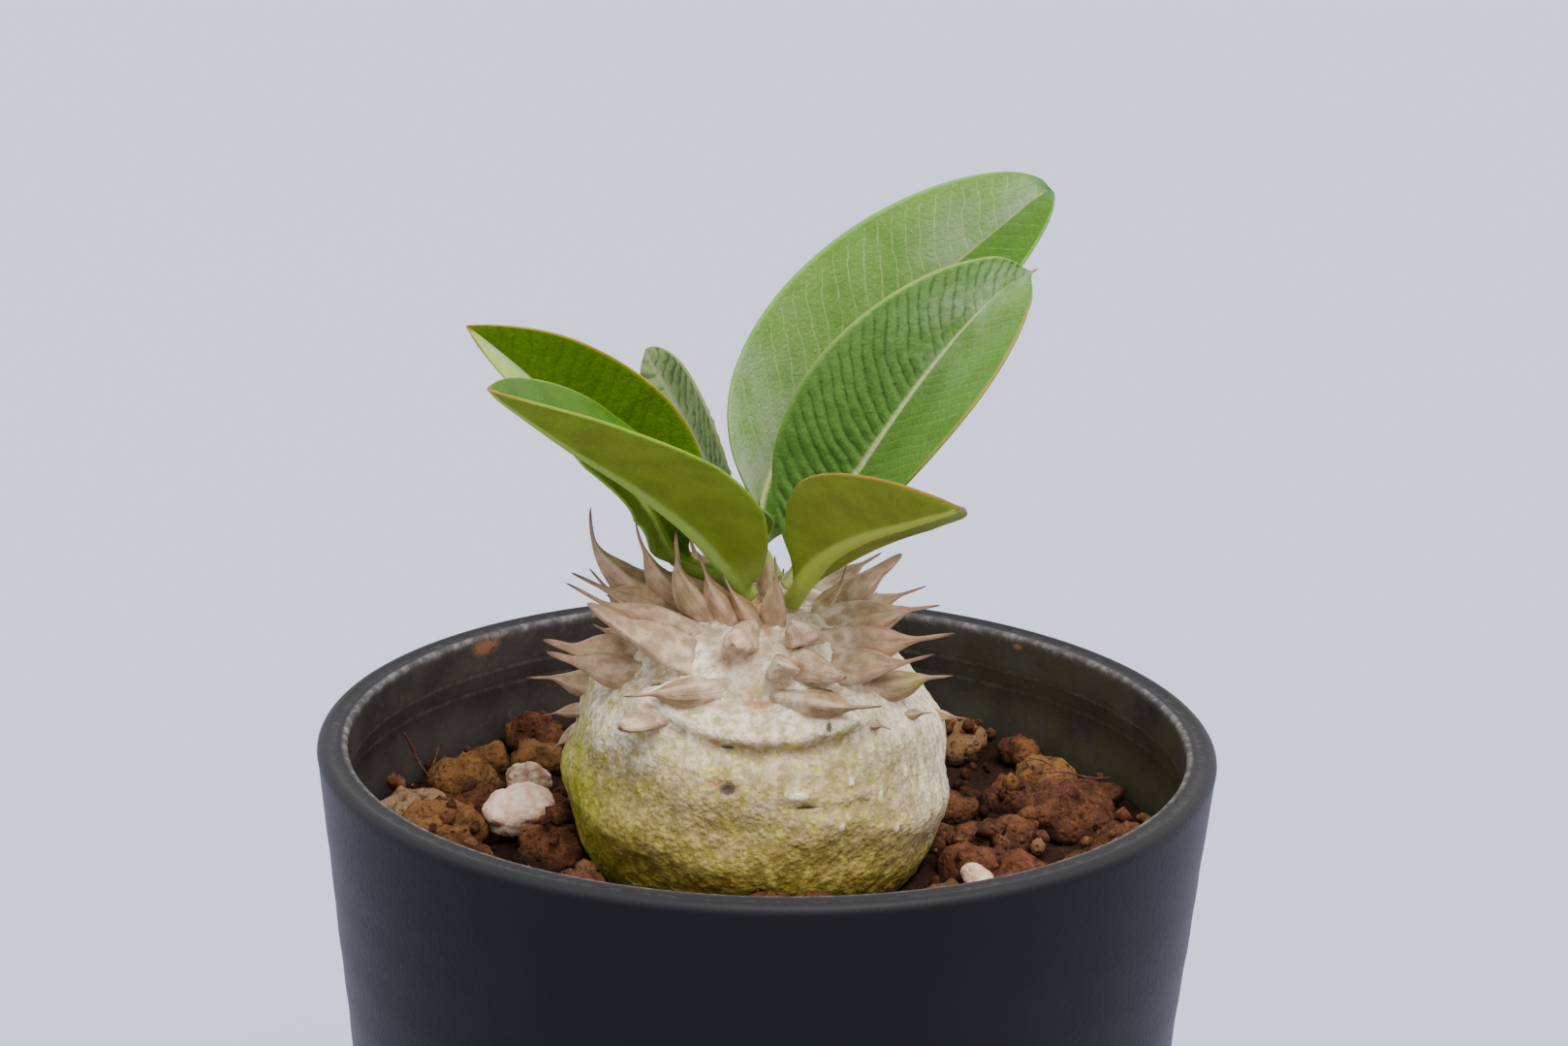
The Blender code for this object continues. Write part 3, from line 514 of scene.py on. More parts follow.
class Value:
    """A number, vector or colour that varies over a material. Arithmetic on it adds nodes."""

    def __init__(self, made, socket):
        self.made = made
        self.socket = socket

    def step(self, operation, *others):
        """One step of arithmetic."""
        return self.made.node("Math", dict(enumerate((self, *others))), operation=operation)

    def __mul__(self, other):
        return self.step("MULTIPLY", other)

    def __add__(self, other):
        return self.step("ADD", other)

    def __sub__(self, other):
        return self.step("SUBTRACT", other)

    def __abs__(self):
        return self.step("ABSOLUTE")

    def most(self, other):
        """The larger of two values."""
        return self.step("MAXIMUM", other)

    def share(self, low, high):
        """Eased share, from 0 where the value is low to 1 where it is high."""
        inputs = {"Value": self, "From Min": low, "From Max": high}
        return self.made.node("MapRange", inputs, "Result", interpolation_type="SMOOTHSTEP")


class Finish:
    """A procedural material. Its colour is laid on coat by coat."""

    def __init__(self, name, roughness, specular, colour=None):
        self.material = bpy.data.materials.new(name)
        self.material.use_nodes = True
        self.tree = self.material.node_tree
        self.shader = self.tree.nodes["Principled BSDF"]
        self.shader.inputs["Roughness"].default_value = roughness
        self.shader.inputs["Specular IOR Level"].default_value = specular
        self.place = self.node("TexCoord", {}, "Object")
        self.colour = colour

    def feed(self, socket, value):
        """Links a socket, or sets it to a plain number, vector or colour."""
        if isinstance(value, Value):
            self.tree.links.new(value.socket, socket)
        elif socket.type == "RGBA":
            socket.default_value = (*value, 1.0)
        else:
            socket.default_value = value

    def node(self, kind, inputs, output=0, **settings):
        """Adds a node with the given inputs and settings, and returns one of its outputs."""
        node = self.tree.nodes.new("ShaderNode" + kind)
        for name, setting in settings.items():
            setattr(node, name, setting)
        for key, value in inputs.items():
            self.feed(node.inputs[key], value)
        return Value(self, node.outputs[output])

    def mix(self, share, first, second):
        """A colour between two."""
        return self.node("Mix", {0: share, 6: first, 7: second}, 2, data_type="RGBA")

    def lay(self, share, shade):
        """Lays a coat over the colour so far, as dense as the share says."""
        self.colour = self.mix(share, self.colour, shade)

    def scaled(self, factors, place=None):
        """Coordinates multiplied along each axis."""
        return self.node("VectorMath", {0: place or self.place, 1: factors}, operation="MULTIPLY")

    def mottle(self, size, detail=2.0, roughness=0.5, place=None, tall=1.0):
        """Cloudy value from 0 to 1 whose patches are about as wide as the size, and so much taller."""
        vector = self.scaled((1 / size, 1 / size, 1 / size / tall), place)
        inputs = {"Vector": vector, "Scale": 1.0, "Detail": detail, "Roughness": roughness}
        return self.node("TexNoise", inputs, "Fac")

    def cells(self, size, tall=1.0):
        """Distance from the middle of the nearest of many cells, in shares of their size."""
        vector = self.scaled((1 / size, 1 / size, 1 / size / tall))
        return self.node("TexVoronoi", {"Vector": vector, "Scale": 1.0}, "Distance")

    def parts(self, vector):
        """The three numbers of a vector."""
        outputs = self.node("SeparateXYZ", {0: vector}).socket.node.outputs
        return [Value(self, output) for output in outputs]

    def near(self, point, reach):
        """Share that falls from 1 about a point to 0 at a distance, flat as a coin; in millimetres."""
        flat = (1.0, 1.0, 2.0)
        centre = tuple(c * f * MM for c, f in zip(point, flat))
        away = self.node("VectorMath", {0: self.scaled(flat), 1: centre}, "Value", operation="DISTANCE")
        return away.share(reach * MM, 0.35 * reach * MM)

    def layer(self, label, output="Fac"):
        """A number stored on the piece's points, or a vector."""
        return self.node("Attribute", {}, output, attribute_name=label)

    def three(self, label):
        """Three numbers stored as one vector on the piece's points."""
        return self.parts(self.layer(label, "Vector"))

    def bump(self, height, depth):
        """Small relief from a height of 0 to 1, the given depth in metres."""
        inputs = {"Distance": depth, "Strength": 1.0, "Height": height}
        self.feed(self.shader.inputs["Normal"], self.node("Bump", inputs, "Normal"))

    def done(self, roughness=None):
        """Gives the shader its colour and, where it varies, its roughness."""
        self.feed(self.shader.inputs["Base Color"], self.colour)
        if roughness is not None:
            self.feed(self.shader.inputs["Roughness"], roughness)
        return self.material


def pot_finish():
    """Charcoal plastic: fine scuffs, dirt and a painted highlight on the lip's top, lime on its inner
    edge, dust and algae inside.
    """
    made = Finish("pot_plastic", 0.45, 0.09)
    x, y, z = made.parts(made.place)
    radius = (x * x + y * y).step("SQRT")
    grain = made.mottle(0.5 * MM, 3.0)
    drift = made.mottle(7 * MM, 3.0)
    speckle = made.mottle(0.9 * MM, 5.0, 0.75)
    made.colour = made.mix(drift, (0.0050, 0.0049, 0.0054), (0.0085, 0.0083, 0.0090))
    inside = radius.share(RIM_RADIUS - 1.4 * MM, RIM_RADIUS - 2.4 * MM)
    inside = inside * z.share(SOIL_LEVEL - 4 * MM, SOIL_LEVEL + 2 * MM)
    film = made.mottle(6 * MM, 4.0).share(0.25, 0.75) * 0.55 + 0.40
    made.lay(inside * film, (0.078, 0.064, 0.057))
    made.lay(inside * speckle.share(0.52, 0.80) * 0.35, (0.17, 0.14, 0.115))
    # Painted highlight, with dust, on the edges of the step below the lip.
    for level in RING_LINES:
        line = abs(z - level).share(0.30 * MM, 0.05 * MM) * speckle.share(0.30, 0.60)
        made.lay(line * inside * 0.40, (0.19, 0.165, 0.145))
    patches = made.mottle(8 * MM, 3.0).share(0.34, 0.62)
    made.lay(inside * x.share(10 * MM, 28 * MM) * patches * 0.70, (0.066, 0.070, 0.030))
    stain = made.near((-25.3, 24.0, 69.0), 2.2).most(made.near((22.1, 27.0, 69.0), 0.7))
    made.lay(stain * speckle.share(0.38, 0.50) * 0.80, (0.34, 0.135, 0.065))
    # The lip's top is lighter: partly dirt, partly a painted highlight where it faces up to the light.
    lip = z.share(POT_HEIGHT - 0.9 * MM, POT_HEIGHT - 0.2 * MM)
    made.lay(lip * 0.80, (0.026, 0.0245, 0.0265))
    worn = lip * radius.share(RIM_RADIUS - 1.95 * MM, RIM_RADIUS - 2.35 * MM)
    limed = made.mottle(1.4 * MM, 5.0, 0.7).share(0.42, 0.70)
    made.lay(worn * (limed * 0.46 + 0.13), (0.32, 0.300, 0.295))
    groove = lip * radius.share(RIM_RADIUS - 1.8 * MM, RIM_RADIUS - 1.5 * MM)
    groove = groove * radius.share(RIM_RADIUS - 1.0 * MM, RIM_RADIUS - 1.2 * MM)
    made.lay(groove * speckle.share(0.46, 0.70) * 0.55, (0.085, 0.072, 0.064))
    made.bump(drift * 0.5 + grain, 0.03 * MM)
    return made.done(grain * 0.10 + inside.most(worn) * 0.35 + 0.40)


def soil_finish():
    """Dry red-brown clods: painted shade in their creases, pits, hollows and low places, orange grains
    with painted highlights on their raised tops, ochre or tan where the layers say.
    """
    made = Finish("dry_soil", 0.95, 0.12)
    tone, ochre, tan = made.three("clod_tone")
    crumb = made.mottle(0.50 * MM, 6.0, 0.74)
    patch = made.mottle(2.1 * MM, 3.0)
    pits = made.cells(0.70 * MM).share(0.10, 0.45)
    made.colour = made.mix(patch.share(0.35, 0.65), (0.115, 0.041, 0.022), (0.325, 0.122, 0.051))
    made.lay(tone, (0.135, 0.056, 0.036))
    made.lay(ochre, made.mix(patch, (0.30, 0.125, 0.038), (0.42, 0.20, 0.070)))
    made.lay(tan, made.mix(patch, (0.44, 0.25, 0.12), (0.54, 0.35, 0.19)))
    # Orange grains where the noise is high, which the bump raises: partly the soil's own orange, partly
    # painted highlights on the raised tops.
    made.lay(crumb.share(0.55, 0.70), made.mix(ochre, (0.47, 0.165, 0.052), (0.54, 0.29, 0.11)))
    # Painted shade in the pits, where the noise is low and the bump sinks.
    made.lay(crumb.share(0.48, 0.34) * 0.85, (0.026, 0.009, 0.005))
    # Painted shade in the hollows of the crags and at the lowest places between the clods.
    deep = made.parts(made.place)[2].share(SOIL_LEVEL + 2.1 * MM, SOIL_LEVEL + 0.1 * MM)
    made.lay((made.layer("painted_hollow_shade") * 0.9).most(deep) * 0.86, (0.020, 0.008, 0.005))
    made.bump(pits * 0.5 + crumb, 0.9 * MM)
    return made.done()


def pumice_finish(name, soiling):
    """Pale porous stone: pinkish stains, fine dark pores, painted shade in the hollows of its crags,
    darker towards the bottom, and soil in patches as its soiling says.
    """
    made = Finish(name + "_pores", 0.92, 0.2)
    stain = made.mottle(1.1 * MM, 4.0)
    pores = made.mottle(0.24 * MM, 4.0, 0.7)
    made.colour = made.mix(stain.share(0.44, 0.62), (1.0, 0.76, 0.58), (0.94, 0.57, 0.38))
    # Painted shade in the hollows of the crags.
    made.lay(made.layer("painted_hollow_shade") * 0.40, (0.55, 0.31, 0.20))
    made.lay(pores.share(0.38, 0.27), (0.30, 0.17, 0.11))
    # Darker towards the bottom, and in patches as much as the stone's soiling says.
    low = made.parts(made.place)[2].share(61.6 * MM, 60.2 * MM) * 0.7
    patchy = (stain.share(0.35, 0.60) + 1.0) * (0.5 * soiling)
    made.lay(low.most(patchy), (0.25, 0.13, 0.075))
    made.bump(pores + stain, 0.22 * MM)
    return made.done()


def root_finish():
    """Dry reddish-brown rootlets with a fibrous grain."""
    made = Finish("dry_root", 0.85, 0.2, (0.055, 0.020, 0.012))
    grain = made.mottle(0.22 * MM, 4.0)
    made.lay(grain.share(0.3, 0.7), (0.17, 0.066, 0.042))
    made.bump(grain, 0.08 * MM)
    return made.done()


def skin_finish():
    """Corky skin: pale pebbles over brown, their tops lighter and their valleys darker partly as painted
    light and shade, olive low down, yellow-green flecks, streaks and marks.
    """
    made = Finish("stem_skin", 0.78, 0.22)
    moss, fibre, height = made.three("skin_tone")
    scar, rust, pale = made.three("skin_marks")
    relief, green, lichen = made.three("skin_relief")
    fine = made.mottle(0.24 * MM, 4.0, 0.68, tall=1.15)
    grit = made.mottle(0.46 * MM, 3.0, 0.6, tall=1.2)
    patch = made.mottle(2.2 * MM, 3.0, tall=0.8)
    pebbles = made.cells(0.56 * MM, tall=0.85).share(0.70, 0.10)
    # Raised where pebbles, grit and relief stand out: the mixes by it make the tops lighter and the
    # valleys darker, partly the skin's own pale pebbles, partly painted highlight and shade.
    raised = (pebbles * 0.35 + grit * 2.1 + relief - 1.2).share(-0.75, 0.85)
    made.colour = made.mix(raised, (0.245, 0.185, 0.020), (0.44, 0.340, 0.060))
    made.lay(height.share(0.08, 0.44), made.mix(raised, (0.305, 0.228, 0.075), (0.56, 0.433, 0.205)))
    made.lay(height.share(0.46, 0.80), made.mix(raised, (0.47, 0.365, 0.215), (1.0, 0.900, 0.690)))
    made.lay(patch.share(0.50, 0.66) * 0.35,
             made.mix(height.share(0.2, 0.6), (0.285, 0.215, 0.060), (0.56, 0.43, 0.32)))
    flecks = made.mottle(0.80 * MM, tall=1.4).share(0.53, 0.65) * green
    made.lay(flecks.most(lichen) * 0.80, made.mix(raised, (0.30, 0.25, 0.030), (0.66, 0.60, 0.13)))
    # Darker tan on the crown between the thorns' swellings: partly the crown's own tan, partly painted
    # shade between the thorns.
    made.lay(made.layer("skin_crease") * 0.60,
             made.mix(patch.share(0.40, 0.62), (0.52, 0.37, 0.235), (0.40, 0.245, 0.150)))
    made.lay(moss * (patch * 0.5 + 0.55), made.mix(raised, (0.26, 0.265, 0.005), (0.48, 0.48, 0.030)))
    streaks = made.mottle(0.50 * MM, 4.0, 0.62, tall=6.0).share(0.34, 0.66)
    made.lay(fibre * 0.85, made.mix(streaks, (0.46, 0.350, 0.21), (1.0, 0.87, 0.64)))
    made.lay(fine.share(0.45, 0.30) * 0.55, (0.150, 0.105, 0.040))
    ragged = (grit + fine) * 1.3 - 0.3
    for mark, strength, shade in ((rust, 0.75, (0.44, 0.185, 0.070)), (pale, 0.75, (1.0, 0.88, 0.62)),
                                  (scar, 0.88, (0.045, 0.028, 0.028))):
        made.lay((mark * ragged).share(0.18, 0.85) * strength, shade)
    made.bump(fine * 0.4 + pebbles * 0.30 + grit, 0.17 * MM)
    return made.done()


def thorn_finish():
    """Woody thorns: grey-beige, faintly streaked, pinkish on some, lighter along their ridges partly as
    painted highlights; smooth beige stubs; dark tips.
    """
    made = Finish("thorn_wood", 0.60, 0.30)
    along, blunt, warm = made.three("thorn_tone")
    streaks = made.mottle(1.0, 3.0, place=made.layer("thorn_grain", "Vector"))
    broad = made.mottle(2.4, place=made.layer("thorn_grain", "Vector"))
    cloud = made.mottle(1.1 * MM, 4.0)
    speck = made.mottle(0.26 * MM, 3.0)
    made.colour = made.mix(cloud.share(0.30, 0.70), (0.280, 0.180, 0.090), (0.45, 0.302, 0.168))
    made.lay(streaks.share(0.48, 0.30) * 0.60, (0.165, 0.105, 0.056))
    # Lighter, pinkish ridges: partly the thorns' own pale edges, partly painted highlights along the
    # edges.
    made.lay(made.layer("thorn_edge").share(0.35, 0.98) * 0.42,
             made.mix(warm, (0.62, 0.46, 0.305), (0.60, 0.365, 0.225)))
    made.lay(warm * broad.share(0.52, 0.64) * along.share(0.15, 0.5) * 0.7, (0.54, 0.275, 0.150))
    made.lay(blunt * 0.90, made.mix(cloud.share(0.40, 0.62), (0.42, 0.28, 0.165), (0.66, 0.49, 0.34)))
    made.lay(along.share(0.30, 0.10) * 0.80,
             made.mix(cloud.share(0.35, 0.65), (0.38, 0.275, 0.165), (0.70, 0.56, 0.39)))
    made.lay(made.near((13.6, -7.2, 77.6), 4.0) * 0.6, (0.34, 0.31, 0.075))
    made.lay(speck.share(0.38, 0.26) * 0.6, (0.12, 0.08, 0.048))
    made.lay(along.share(0.55, 0.80) * (blunt * -0.6 + 0.6),
             made.mix(warm, (0.30, 0.19, 0.135), (0.46, 0.235, 0.15)))
    made.lay(along.share(0.90, 1.0) * (blunt * -1.0 + 0.9), (0.075, 0.045, 0.035))
    made.bump(cloud * 0.8 + speck * 0.25 + streaks, 0.16 * MM)
    return made.done()


def leaf_veins(made, phase, reach, half, looks):
    """Strength of the side veins: narrow lines, broken up here and there, and gone at the margin."""
    onset, strength = [half * (right - left) + left
                       for left, right in (looks["onset"], looks["strength"])]
    line = abs(phase.step("FRACT") - 0.5).share(onset, 0.49) * strength
    finer = abs((phase * 2.0).step("FRACT") - 0.5).share(0.42, 0.49) * half * 0.25
    return (line.most(finer) * reach.share(0.97, 0.82)
            * made.mottle(1.6 * MM).share(0.28, 0.50))


def leaf_finish(name, looks):
    """One leaf: veined and mottled above, plainer below, with a pale rib, a pale film that is partly
    bloom and partly painted sheen, and a thin margin.
    """
    made = Finish(name + "_green", 0.42, looks["gloss"], looks["under"])
    across, phase, top = made.three("leaf_place")
    rib, along, _ = made.three("leaf_side")
    reach = abs(across)
    half = across.share(-0.10, 0.10)
    vein = leaf_veins(made, phase, reach, half, looks)
    patch = made.mottle(3.2 * MM, 3.0)
    net = made.cells(0.42 * MM)
    grain = made.mottle(0.22 * MM, 3.0)
    upper = made.mix(half, *looks["green"])
    shade = made.mix(half, *[(c[0] * 0.58, c[1] * 0.70, c[2] * 0.45) for c in looks["green"]])
    upper = made.mix(patch.share(0.44, 0.70) * 0.60, upper, shade)
    upper = made.mix(net.share(0.28, 0.60) * 0.25, upper, shade)
    low, high, on_right = looks["bloom_and_sheen"]
    # The pale film: partly a waxy bloom, partly painted sheen along the rib and towards the tip.
    film = along.share(0.55, 0.12) * low + along.share(0.50, 0.95) * reach.share(0.95, 0.20) * high
    film = film * made.mottle(4.0 * MM, 4.0).share(0.25, 0.66) * (half * (on_right - 1) + 1.0)
    upper = made.mix(film, upper, (0.40, 0.47, 0.30))
    # Vein colour over the upper side: pale lines, or painted shade in sunken veins where the vein colour
    # is dark.
    upper = made.mix(vein, upper, made.mix(half, *looks["vein"]))
    made.lay(patch.share(0.35, 0.65), tuple(c * 0.80 for c in looks["under"]))
    made.lay(vein, looks["vein"][0])
    made.lay(top, upper)
    edging = reach.share(0.955, 0.995) * (along.share(0.35, 0.90) * 0.45 + 0.35)
    made.lay(edging, made.mix(half, *looks["edge"]))
    made.lay(rib.share(0.15, 0.62) * 0.90, looks["rib"])
    made.lay(along.share(0.14, 0.02) * 0.75, (0.30, 0.38, 0.07))
    tip = along.share(0.97, 0.995).most(reach.share(0.90, 0.99))
    made.lay(tip * along.share(0.90, 0.99) * 0.8, looks["tip"])
    made.bump(net * 0.5 + grain - vein * 0.6, 0.07 * MM)
    made.shader.inputs["Subsurface Weight"].default_value = 0.30
    made.shader.inputs["Subsurface Radius"].default_value = (0.6, 1.0, 0.2)
    made.shader.inputs["Subsurface Scale"].default_value = 0.9 * MM
    return made.done(patch * 0.16 + 0.36)


def paper_finish():
    """The matt paper of the studio floor."""
    made = Finish("floor_paper", 0.9, 0.1, FLOOR_COLOUR)
    made.lay(made.mottle(0.4), tuple(c * 0.985 for c in FLOOR_COLOUR))
    return made.done()


# Pot

def outer_wall(height):
    """Radius of the pot's outside at a height."""
    return RIM_RADIUS - (POT_HEIGHT - height) * WALL_SLOPE


def inner_wall(height):
    """Radius of the pot's inside below its thick lip."""
    return outer_wall(height) - WALL_THICKNESS


def arc(centre, radius, start, end, steps=6):
    """Points of a circular arc in the section, its angles in degrees."""
    turn = np.radians(np.linspace(start, end, steps))
    return [(centre[0] + radius * math.cos(t), centre[1] + radius * math.sin(t)) for t in turn]


def pot_section():
    """The pot's section: straight runs joined by arcs, with a groove round the top of the lip."""
    top = POT_HEIGHT
    lip = RIM_RADIUS - LIP_WIDTH
    under_lip = top - LIP_DEPTH
    floor_top = FOOT_HEIGHT + FLOOR_THICKNESS
    foot_outer = outer_wall(0)
    foot_inner = foot_outer - FOOT_WIDTH
    bead = 0.75 * MM
    groove = 0.22 * MM
    section = [(1.0 * MM, FOOT_HEIGHT), (foot_inner - 1.6 * MM, FOOT_HEIGHT)]
    section += arc((foot_inner + 0.3 * MM, 0.9 * MM), 0.9 * MM, 180, 270)
    section += arc((foot_outer - EDGE_ROUND, EDGE_ROUND), EDGE_ROUND, 270, 360)
    section += [(outer_wall(h), h) for h in np.linspace(2 * MM, top - 1.6 * MM, 60)]
    section += arc((RIM_RADIUS - bead - 0.04 * MM, top - bead), bead, 0, 100, 9)
    section += [(RIM_RADIUS - 1.25 * MM, top - groove), (RIM_RADIUS - 1.5 * MM, top - groove)]
    section += arc((lip + 0.45 * MM, top - 0.5 * MM), 0.45 * MM, 80, 180, 7)
    section += [(lip, h) for h in np.linspace(top - 1.2 * MM, under_lip + 0.4 * MM, 6)]
    low = floor_top + 1.5 * MM
    section += [(inner_wall(h), h) for h in np.linspace(under_lip - 1.4 * MM, low, 24)]
    section += arc((inner_wall(low) - 1.5 * MM, low), 1.5 * MM, 0, -90)
    section += [(1.0 * MM, floor_top)]
    return np.array(section)


def add_pot():
    """The pot turned from its section, its wall very slightly wavy, with six drain holes."""
    radius, height = pot_section().T[..., None]
    angle = around(POT_SIDES)
    wave = np.sin(2 * angle + 900 * height) * np.sin(420 * height + 1.0)
    body = smooth(height, 5 * MM, 15 * MM) * smooth(height, 66 * MM, 60 * MM)
    radius = radius + WALL_WAVE * wave * body * (radius > outer_wall(height) - 0.5 * MM)
    rings = stacked(radius * np.cos(angle), radius * np.sin(angle), height)
    pot = add_piece("pot_body", closed_stack(rings), pot_finish(), "pot")
    drill_holes(pot)


def drill_holes(pot):
    """Cuts the drain holes: upright cylinders on a circle, taken from the floor."""
    drills = bmesh.new()
    for angle in around(DRAIN_COUNT):
        drill = bmesh.ops.create_cone(drills, cap_ends=True, segments=48, radius1=DRAIN_RADIUS,
                                      radius2=DRAIN_RADIUS, depth=6 * FLOOR_THICKNESS)
        place = (DRAIN_CIRCLE * math.cos(angle), DRAIN_CIRCLE * math.sin(angle), FOOT_HEIGHT)
        bmesh.ops.translate(drills, verts=drill["verts"], vec=place)
    mesh = bpy.data.meshes.new("drill")
    drills.to_mesh(mesh)
    drills.free()
    cutter = placed("drill", mesh)
    holes = pot.modifiers.new("holes", "BOOLEAN")
    holes.operation = "DIFFERENCE"
    holes.object = cutter
    bpy.context.view_layer.update()
    evaluated = pot.evaluated_get(bpy.context.evaluated_depsgraph_get())
    drilled = bpy.data.meshes.new_from_object(evaluated)
    pot.modifiers.clear()
    pot.data = drilled
    bpy.data.objects.remove(cutter)


# Stem

def stem_curve(rows, density=((30, 1.0), (82, 1.0))):
    """The stem's profile in metres, its rows as close as the density asks at each height."""
    fine = curve_through(STEM_PROFILE, np.linspace(0, 1, 60 * len(STEM_PROFILE)))[0]
    step = np.linalg.norm(np.diff(fine, axis=0), axis=1)
    heights, densities = np.array(density).T
    crowding = np.interp((fine[1:, 1] + fine[:-1, 1]) / 2, heights, densities)
    travel = np.concatenate([[0], np.cumsum(step * crowding)])
    even = np.linspace(0, travel[-1], rows)
    curve = np.stack([np.interp(even, travel, fine[:, k]) for k in range(2)], axis=-1) * MM
    curve[:, 0] = np.maximum(curve[:, 0], 0)
    return curve


def stem_radius(height):
    """Radius of the plain stem at a height in metres."""
    curve = stem_curve(400)
    return np.interp(height, curve[:, 1], curve[:, 0])


def crown_height(distance):
    """Height of the stem's upper surface at a distance from its axis."""
    curve = stem_curve(400)
    upper = curve[curve[:, 1] > STEM_SHOULDER][::-1]
    return np.interp(distance, upper[:, 0], upper[:, 1])


def bells(angle, height, rows):
    """Relief in metres: for each fold or swelling a bell curve along it and across it."""
    offset = np.zeros_like(height)
    for azimuth, spread, middle, rise, thickness, amount in rows:
        away = degrees_from(azimuth, angle) / spread
        above = (height / MM - middle - rise * away ** 2) / thickness
        offset += amount * np.exp(-away ** 2 - above ** 2)
    return offset * MM


def fold_relief(angle, height):
    """The folds of the skin, plus two slow waves."""
    level = height / MM
    seen = np.clip((level - 60) / 4, 0, 1) * np.clip((80 - level) / 4, 0, 1)
    lumps = 0.20 * np.sin(3 * angle + 0.9 * level) + 0.14 * np.sin(7 * angle - 0.7 * level + 1.0)
    return bells(angle, height, SKIN_FOLDS) + lumps * seen * MM


def on_side(angle, azimuth, spread):
    """Bell curve of the angle: 1 at the azimuth, small past twice the spread."""
    return np.exp(-degrees_from(azimuth, angle) ** 2 / 2 / spread ** 2)


def mark_layer(angle, points, places):
    """Strength of oval marks: a bell curve of the distance in half-widths and half-heights."""
    total = np.zeros(angle.shape)
    reach = np.linalg.norm(points[..., :2] - [STEM_X, 0], axis=-1) / MM
    for azimuth, height, wide, high in places:
        across = np.radians(degrees_from(azimuth, angle)) * reach / wide
        above = (points[..., 2] / MM - height) / high
        total = np.maximum(total, np.exp(-(across ** 2 + above ** 2) ** 1.5))
    return total


def thorn_swell(points):
    """How far each point takes part in the swelling round a thorn's root, more for a stout thorn."""
    rows = np.array(FRONT_THORNS + back_thorns())
    azimuth = np.radians(rows[:, 0])
    distance = rows[:, 1] * MM
    roots = stacked(distance * np.cos(azimuth) + STEM_X, distance * np.sin(azimuth),
                    crown_height(distance))
    swell = np.zeros(points.shape[:-1])
    for root, girth in zip(roots, rows[:, 6]):
        away = np.linalg.norm(points - root, axis=-1) / (ROOT_REACH * girth / 1.4)
        swell = np.maximum(swell, girth / 1.5 * np.exp(-away ** 2))
    return swell


def add_skin():
    """The stem's skin: the turned profile with folds, swellings at the thorns, and pebbles."""
    curve = stem_curve(SKIN_ROWS, ROW_DENSITY)[1:-1]
    angle, row = np.meshgrid(around(SKIN_SIDES), np.arange(len(curve)))
    slope = np.gradient(curve, axis=0)
    outward, upward = unit(stacked(slope[:, 1], -slope[:, 0]))[row].transpose(2, 0, 1)
    height = curve[row, 1]
    fold = fold_relief(angle, height)
    radius = curve[row, 0] + fold
    points = stacked(np.cos(angle) * radius + STEM_X, np.sin(angle) * radius, height)
    normal = stacked(np.cos(angle) * outward, np.sin(angle) * outward, upward)
    swell = thorn_swell(points)
    stretched = points * [1, 1, PEBBLE_STRETCH]
    pebble = noise(stretched, PEBBLE_SIZE, 1) + 0.6 * noise(stretched, 0.5 * PEBBLE_SIZE, 2)
    marks = [mark_layer(angle, points, places) for _, places in MARKS.values()]
    scar, rust, pale, lichen = marks
    rolling = PEBBLE_HEIGHT * pebble + 0.12 * MM * rough(points, 4.0 * MM, 3, 2)
    offset = ROOT_SWELL * swell + rolling * smooth(height, 57 * MM, 61 * MM)
    offset += bells(angle, height, SKIN_SWELLS)
    offset += sum(relief * mark for (relief, _), mark in zip(MARKS.values(), marks)) * MM
    points = points + normal * offset[..., None]
    left = on_side(angle, *MOSS_SIDE)
    right = on_side(angle, *STREAK_SIDE) * smooth(height, 61 * MM, 66 * MM)
    patchy = smooth(rough(points, 2.2 * MM, 9), 0.0, 0.7)
    moss = np.clip(left * (smooth(height, 74 * MM, 66 * MM) + 0.55 * patchy), 0, 1)
    level = (height - PALING_FROM) / PALING_SPAN + 0.07 * rough(points, 3 * MM, 5)
    # Painted shade at the front under the main fold, lighter towards the sides.
    level += 0.16 * (1 - np.cos(angle - PAINTED_SHADE_SIDE))
    green = np.clip(0.85 + 0.5 * rough(points, 3.5 * MM, 15), 0, 1) * smooth(height, 80 * MM, 73 * MM)
    relief = np.clip(0.60 * pebble + 0.22 * fold / MM + 0.25 * swell, -1.5, 1.5)
    shape, layers = stack_with(points, {
        "skin_tone": stacked(moss, right, level),
        "skin_marks": stacked(scar, rust, pale),
        "skin_relief": stacked(relief, green, lichen),
        # Share of the crown between the thorns' swellings, where the darker tan and painted shade are
        # laid
        "skin_crease": smooth(swell, 0.55, 0.15) * smooth(height, 75.5 * MM, 78.5 * MM),
    })
    add_piece("caudex_skin", shape, skin_finish(), "caudex", layers)


